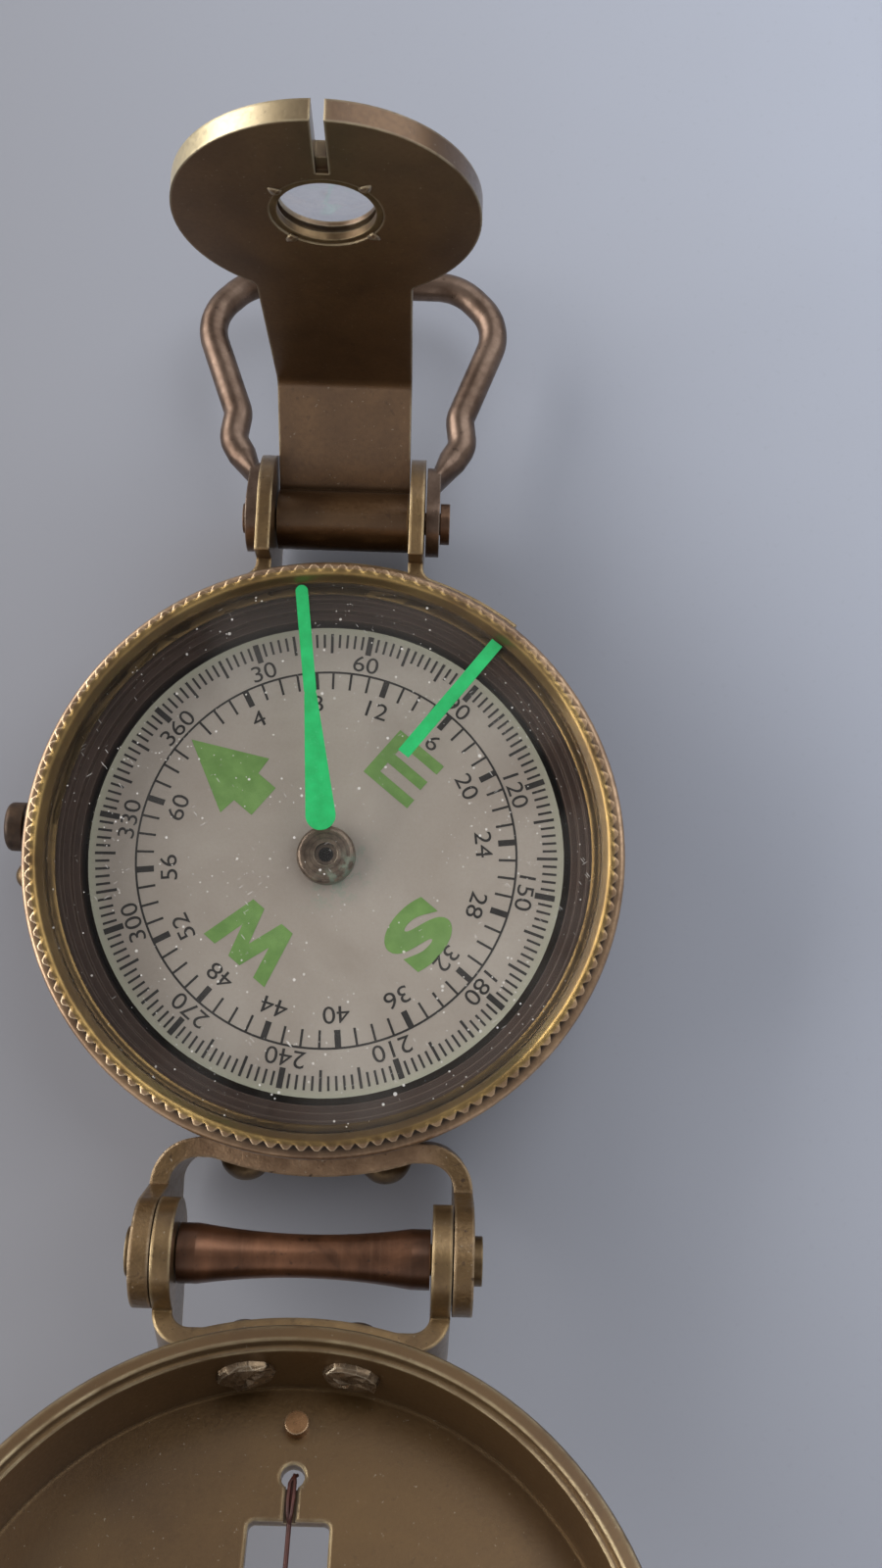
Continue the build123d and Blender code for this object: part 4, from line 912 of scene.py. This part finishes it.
def rivet_end(side):
    """The uneven dome of one rivet end."""
    shape = bmesh.new()
    middle = shape.verts.new(end_point(side, 0.0, END_MIDDLE + END_LEAN * side, 0.0))
    before = None
    for k, (radius, height) in enumerate(END_RINGS):
        ring = []
        for i in range(END_SIDES):
            rough = unevenness(i + SIDE_OFFSET * side, k + RING_OFFSET)
            turn = 2 * math.pi * i / END_SIDES + TURN_PLAY * rough
            spread = radius * (1 + (TOP_PLAY if k in UNEVEN_RINGS else RIM_PLAY) * rough)
            lift = height + (HEIGHT_PLAY * rough if k < TOP_RINGS else 0.0)
            ring.append(shape.verts.new(end_point(side, spread, lift, turn)))
        for i in range(END_SIDES):
            j = (i + 1) % END_SIDES
            if before is None:
                shape.faces.new((middle, ring[i], ring[j]))
            else:
                shape.faces.new((before[i], ring[i], ring[j], before[j]))
        before = ring
    return shape


for side, label in ((-1, "left"), (1, "right")):
    add_solid("rivet_end_" + label, rivet_end(side), hammered, "lid")

# The wire's doubled end between its hole and the window, in places on the closed lid
STRAND_RADIUS = 0.14 * MM
STRAND_SIDES = 8
STRAND_SIDEWAYS = Vector((0, 0.3, 1))
STRAND_ROUTES = (
    ((0.05, -18.45, 21.5), (0.12, -18.2, 21.0), (0.2, -17.7, 20.8), (0.2, -16.6, 20.74),
     (0.12, -15.4, 20.8), (0.02, -14.7, 21.02)),
    ((0.3, -18.4, 21.4), (0.05, -18.1, 21.0), (-0.18, -17.6, 20.82), (-0.22, -16.4, 20.76),
     (-0.16, -15.4, 20.82), (-0.02, -14.8, 21.02)),
)


def add_strand(shape, points):
    """A thin round strand through points."""
    before = None
    for k, point in enumerate(points):
        along = (points[min(k + 1, len(points) - 1)] - points[max(k - 1, 0)]).normalized()
        first = along.cross(STRAND_SIDEWAYS).normalized()
        second = along.cross(first)
        ring = []
        for i in range(STRAND_SIDES):
            turn = 2 * math.pi * i / STRAND_SIDES
            outward = first * math.cos(turn) + second * math.sin(turn)
            ring.append(shape.verts.new(point + outward * STRAND_RADIUS))
        if before is None:
            shape.faces.new(ring)
        else:
            for i in range(STRAND_SIDES):
                j = (i + 1) % STRAND_SIDES
                shape.faces.new((before[i], before[j], ring[j], ring[i]))
        before = ring
    shape.faces.new(before)


wire_pair = bmesh.new()
for route in STRAND_ROUTES:
    add_strand(wire_pair, [lid_point(*place) for place in route])
add_solid("wire_pair", wire_pair, wire_red, "lid", smooth=True)

# Floor, in metres
FLOOR_RADIUS = 3.0
FLOOR_SIDES = 96
FLOOR_LIGHT_SWEEP = (-0.04, 0.08)
FLOOR_LIGHT_SLANT = 0.35


def floor_material():
    """Pale matt table with painted light: lighter and bluer towards the upper right."""
    material, tree, output = new_material("pale_table_painted_light")
    where = coordinates(tree)
    fine = noise(tree, where, scale=1400.0, detail=3.0)
    broad = noise(tree, where, scale=18.0, detail=3.0)
    x, y, _ = axes(tree, where)
    # Painted light: the table's colour grows lighter and bluer along a slanted sweep
    slanted = maths(tree, "ADD", x, times(tree, y, FLOOR_LIGHT_SLANT))
    color = mix(tree, remap(tree, slanted, *FLOOR_LIGHT_SWEEP), tone(141, 141, 146), tone(174, 180, 194))
    color = mix(tree, remap(tree, broad, low=0.3, high=0.7, to_high=0.2), color, tone(154, 156, 163))
    color = mix(tree, remap(tree, fine, low=0.6, high=0.75, to_high=0.12), color, tone(142, 144, 153))
    principled(tree, output, color, plain=tone(160, 163, 172), metallic=0.0, roughness=0.8,
               normal=bump(tree, fine, strength=0.03, distance=0.2 * MM), specular=0.1)
    return material


floor_rim = []
for i in range(FLOOR_SIDES):
    turn = 2 * math.pi * i / FLOOR_SIDES
    floor_rim.append((FLOOR_RADIUS * math.cos(turn), FLOOR_RADIUS * math.sin(turn), 0))
floor_mesh = bpy.data.meshes.new("table")
floor_mesh.from_pydata(floor_rim, [], [tuple(range(FLOOR_SIDES))])
floor_mesh.materials.append(floor_material())
floor = bpy.data.objects.new("table", floor_mesh)
scene.collection.objects.link(floor)

# World: dimmer overhead, brighter from the left and from the front
SKY_STRENGTH = 0.62
SKY_TINT = (0.99, 0.98, 1.0)

world = bpy.data.worlds.new("studio")
world.use_nodes = True
sky = world.node_tree
sky_light = sky.nodes["Background"]
sky_light.inputs["Strength"].default_value = SKY_STRENGTH
direction = add(sky, "ShaderNodeTexCoord").outputs["Generated"]
sky_x, sky_y, sky_z = axes(sky, direction)
height_share = remap(sky, sky_z, low=0.4, high=0.97, to_low=1.0, to_high=0.42)
side_share = remap(sky, sky_x, low=-1.0, high=1.0, to_low=1.15, to_high=0.8)
front_share = remap(sky, sky_y, low=-1.0, high=0.4, to_low=1.6, to_high=0.9)
glow = times(sky, times(sky, height_share, side_share), front_share)
sky_tint = add(sky, "ShaderNodeVectorMath", operation="SCALE")
sky_tint.inputs[0].default_value = SKY_TINT
put(sky, glow, sky_tint.inputs["Scale"])
put(sky, sky_tint.outputs[0], sky_light.inputs["Color"])
scene.world = world


# Lamps, in metres and watts

def area_light(name, place, aim, size, energy, color):
    data = bpy.data.lights.new(name, "AREA")
    data.shape = "RECTANGLE"
    data.size, data.size_y = size
    data.energy = energy
    data.color = color
    lamp = bpy.data.objects.new(name, data)
    lamp.location = place
    lamp.rotation_mode = "QUATERNION"
    lamp.rotation_quaternion = (Vector(aim) - Vector(place)).to_track_quat("-Z", "Y")
    scene.collection.objects.link(lamp)


area_light("window", place=(-4.6, 0.95, 1.75), aim=(0, 0, 0.02), size=(6.4, 3.4), energy=340.0,
           color=(1.0, 0.98, 0.95))
area_light("fill", place=(0.90, 0.96, 1.20), aim=(0, 0, 0), size=(1.70, 1.70), energy=17.0,
           color=(0.94, 0.97, 1.0))

# Camera: focal length in pixels of the 900 x 1600 frame, place in millimetres, turn vector
FOCAL = 1550.0
FRAME_HEIGHT = 1600.0
SENSOR = 36.0
PLACE = Vector((8.7778, -19.4959, 138.2087))
TURN = Vector((2.9404, 0.0454, 0.0133))
NEAREST = 0.005
FARTHEST = 20.0

camera_data = bpy.data.cameras.new("camera")
camera_data.sensor_fit = "AUTO"
camera_data.sensor_width = SENSOR
camera_data.lens = SENSOR * FOCAL / FRAME_HEIGHT
camera_data.clip_start = NEAREST
camera_data.clip_end = FARTHEST
camera = bpy.data.objects.new("camera", camera_data)
to_camera = Matrix.Rotation(TURN.length, 3, TURN.normalized())
camera_axes = Matrix((to_camera[0], -to_camera[1], -to_camera[2])).transposed()
camera.matrix_world = Matrix.Translation(PLACE * MM) @ camera_axes.to_4x4()
scene.collection.objects.link(camera)
scene.camera = camera

scene.view_settings.view_transform = "Standard"
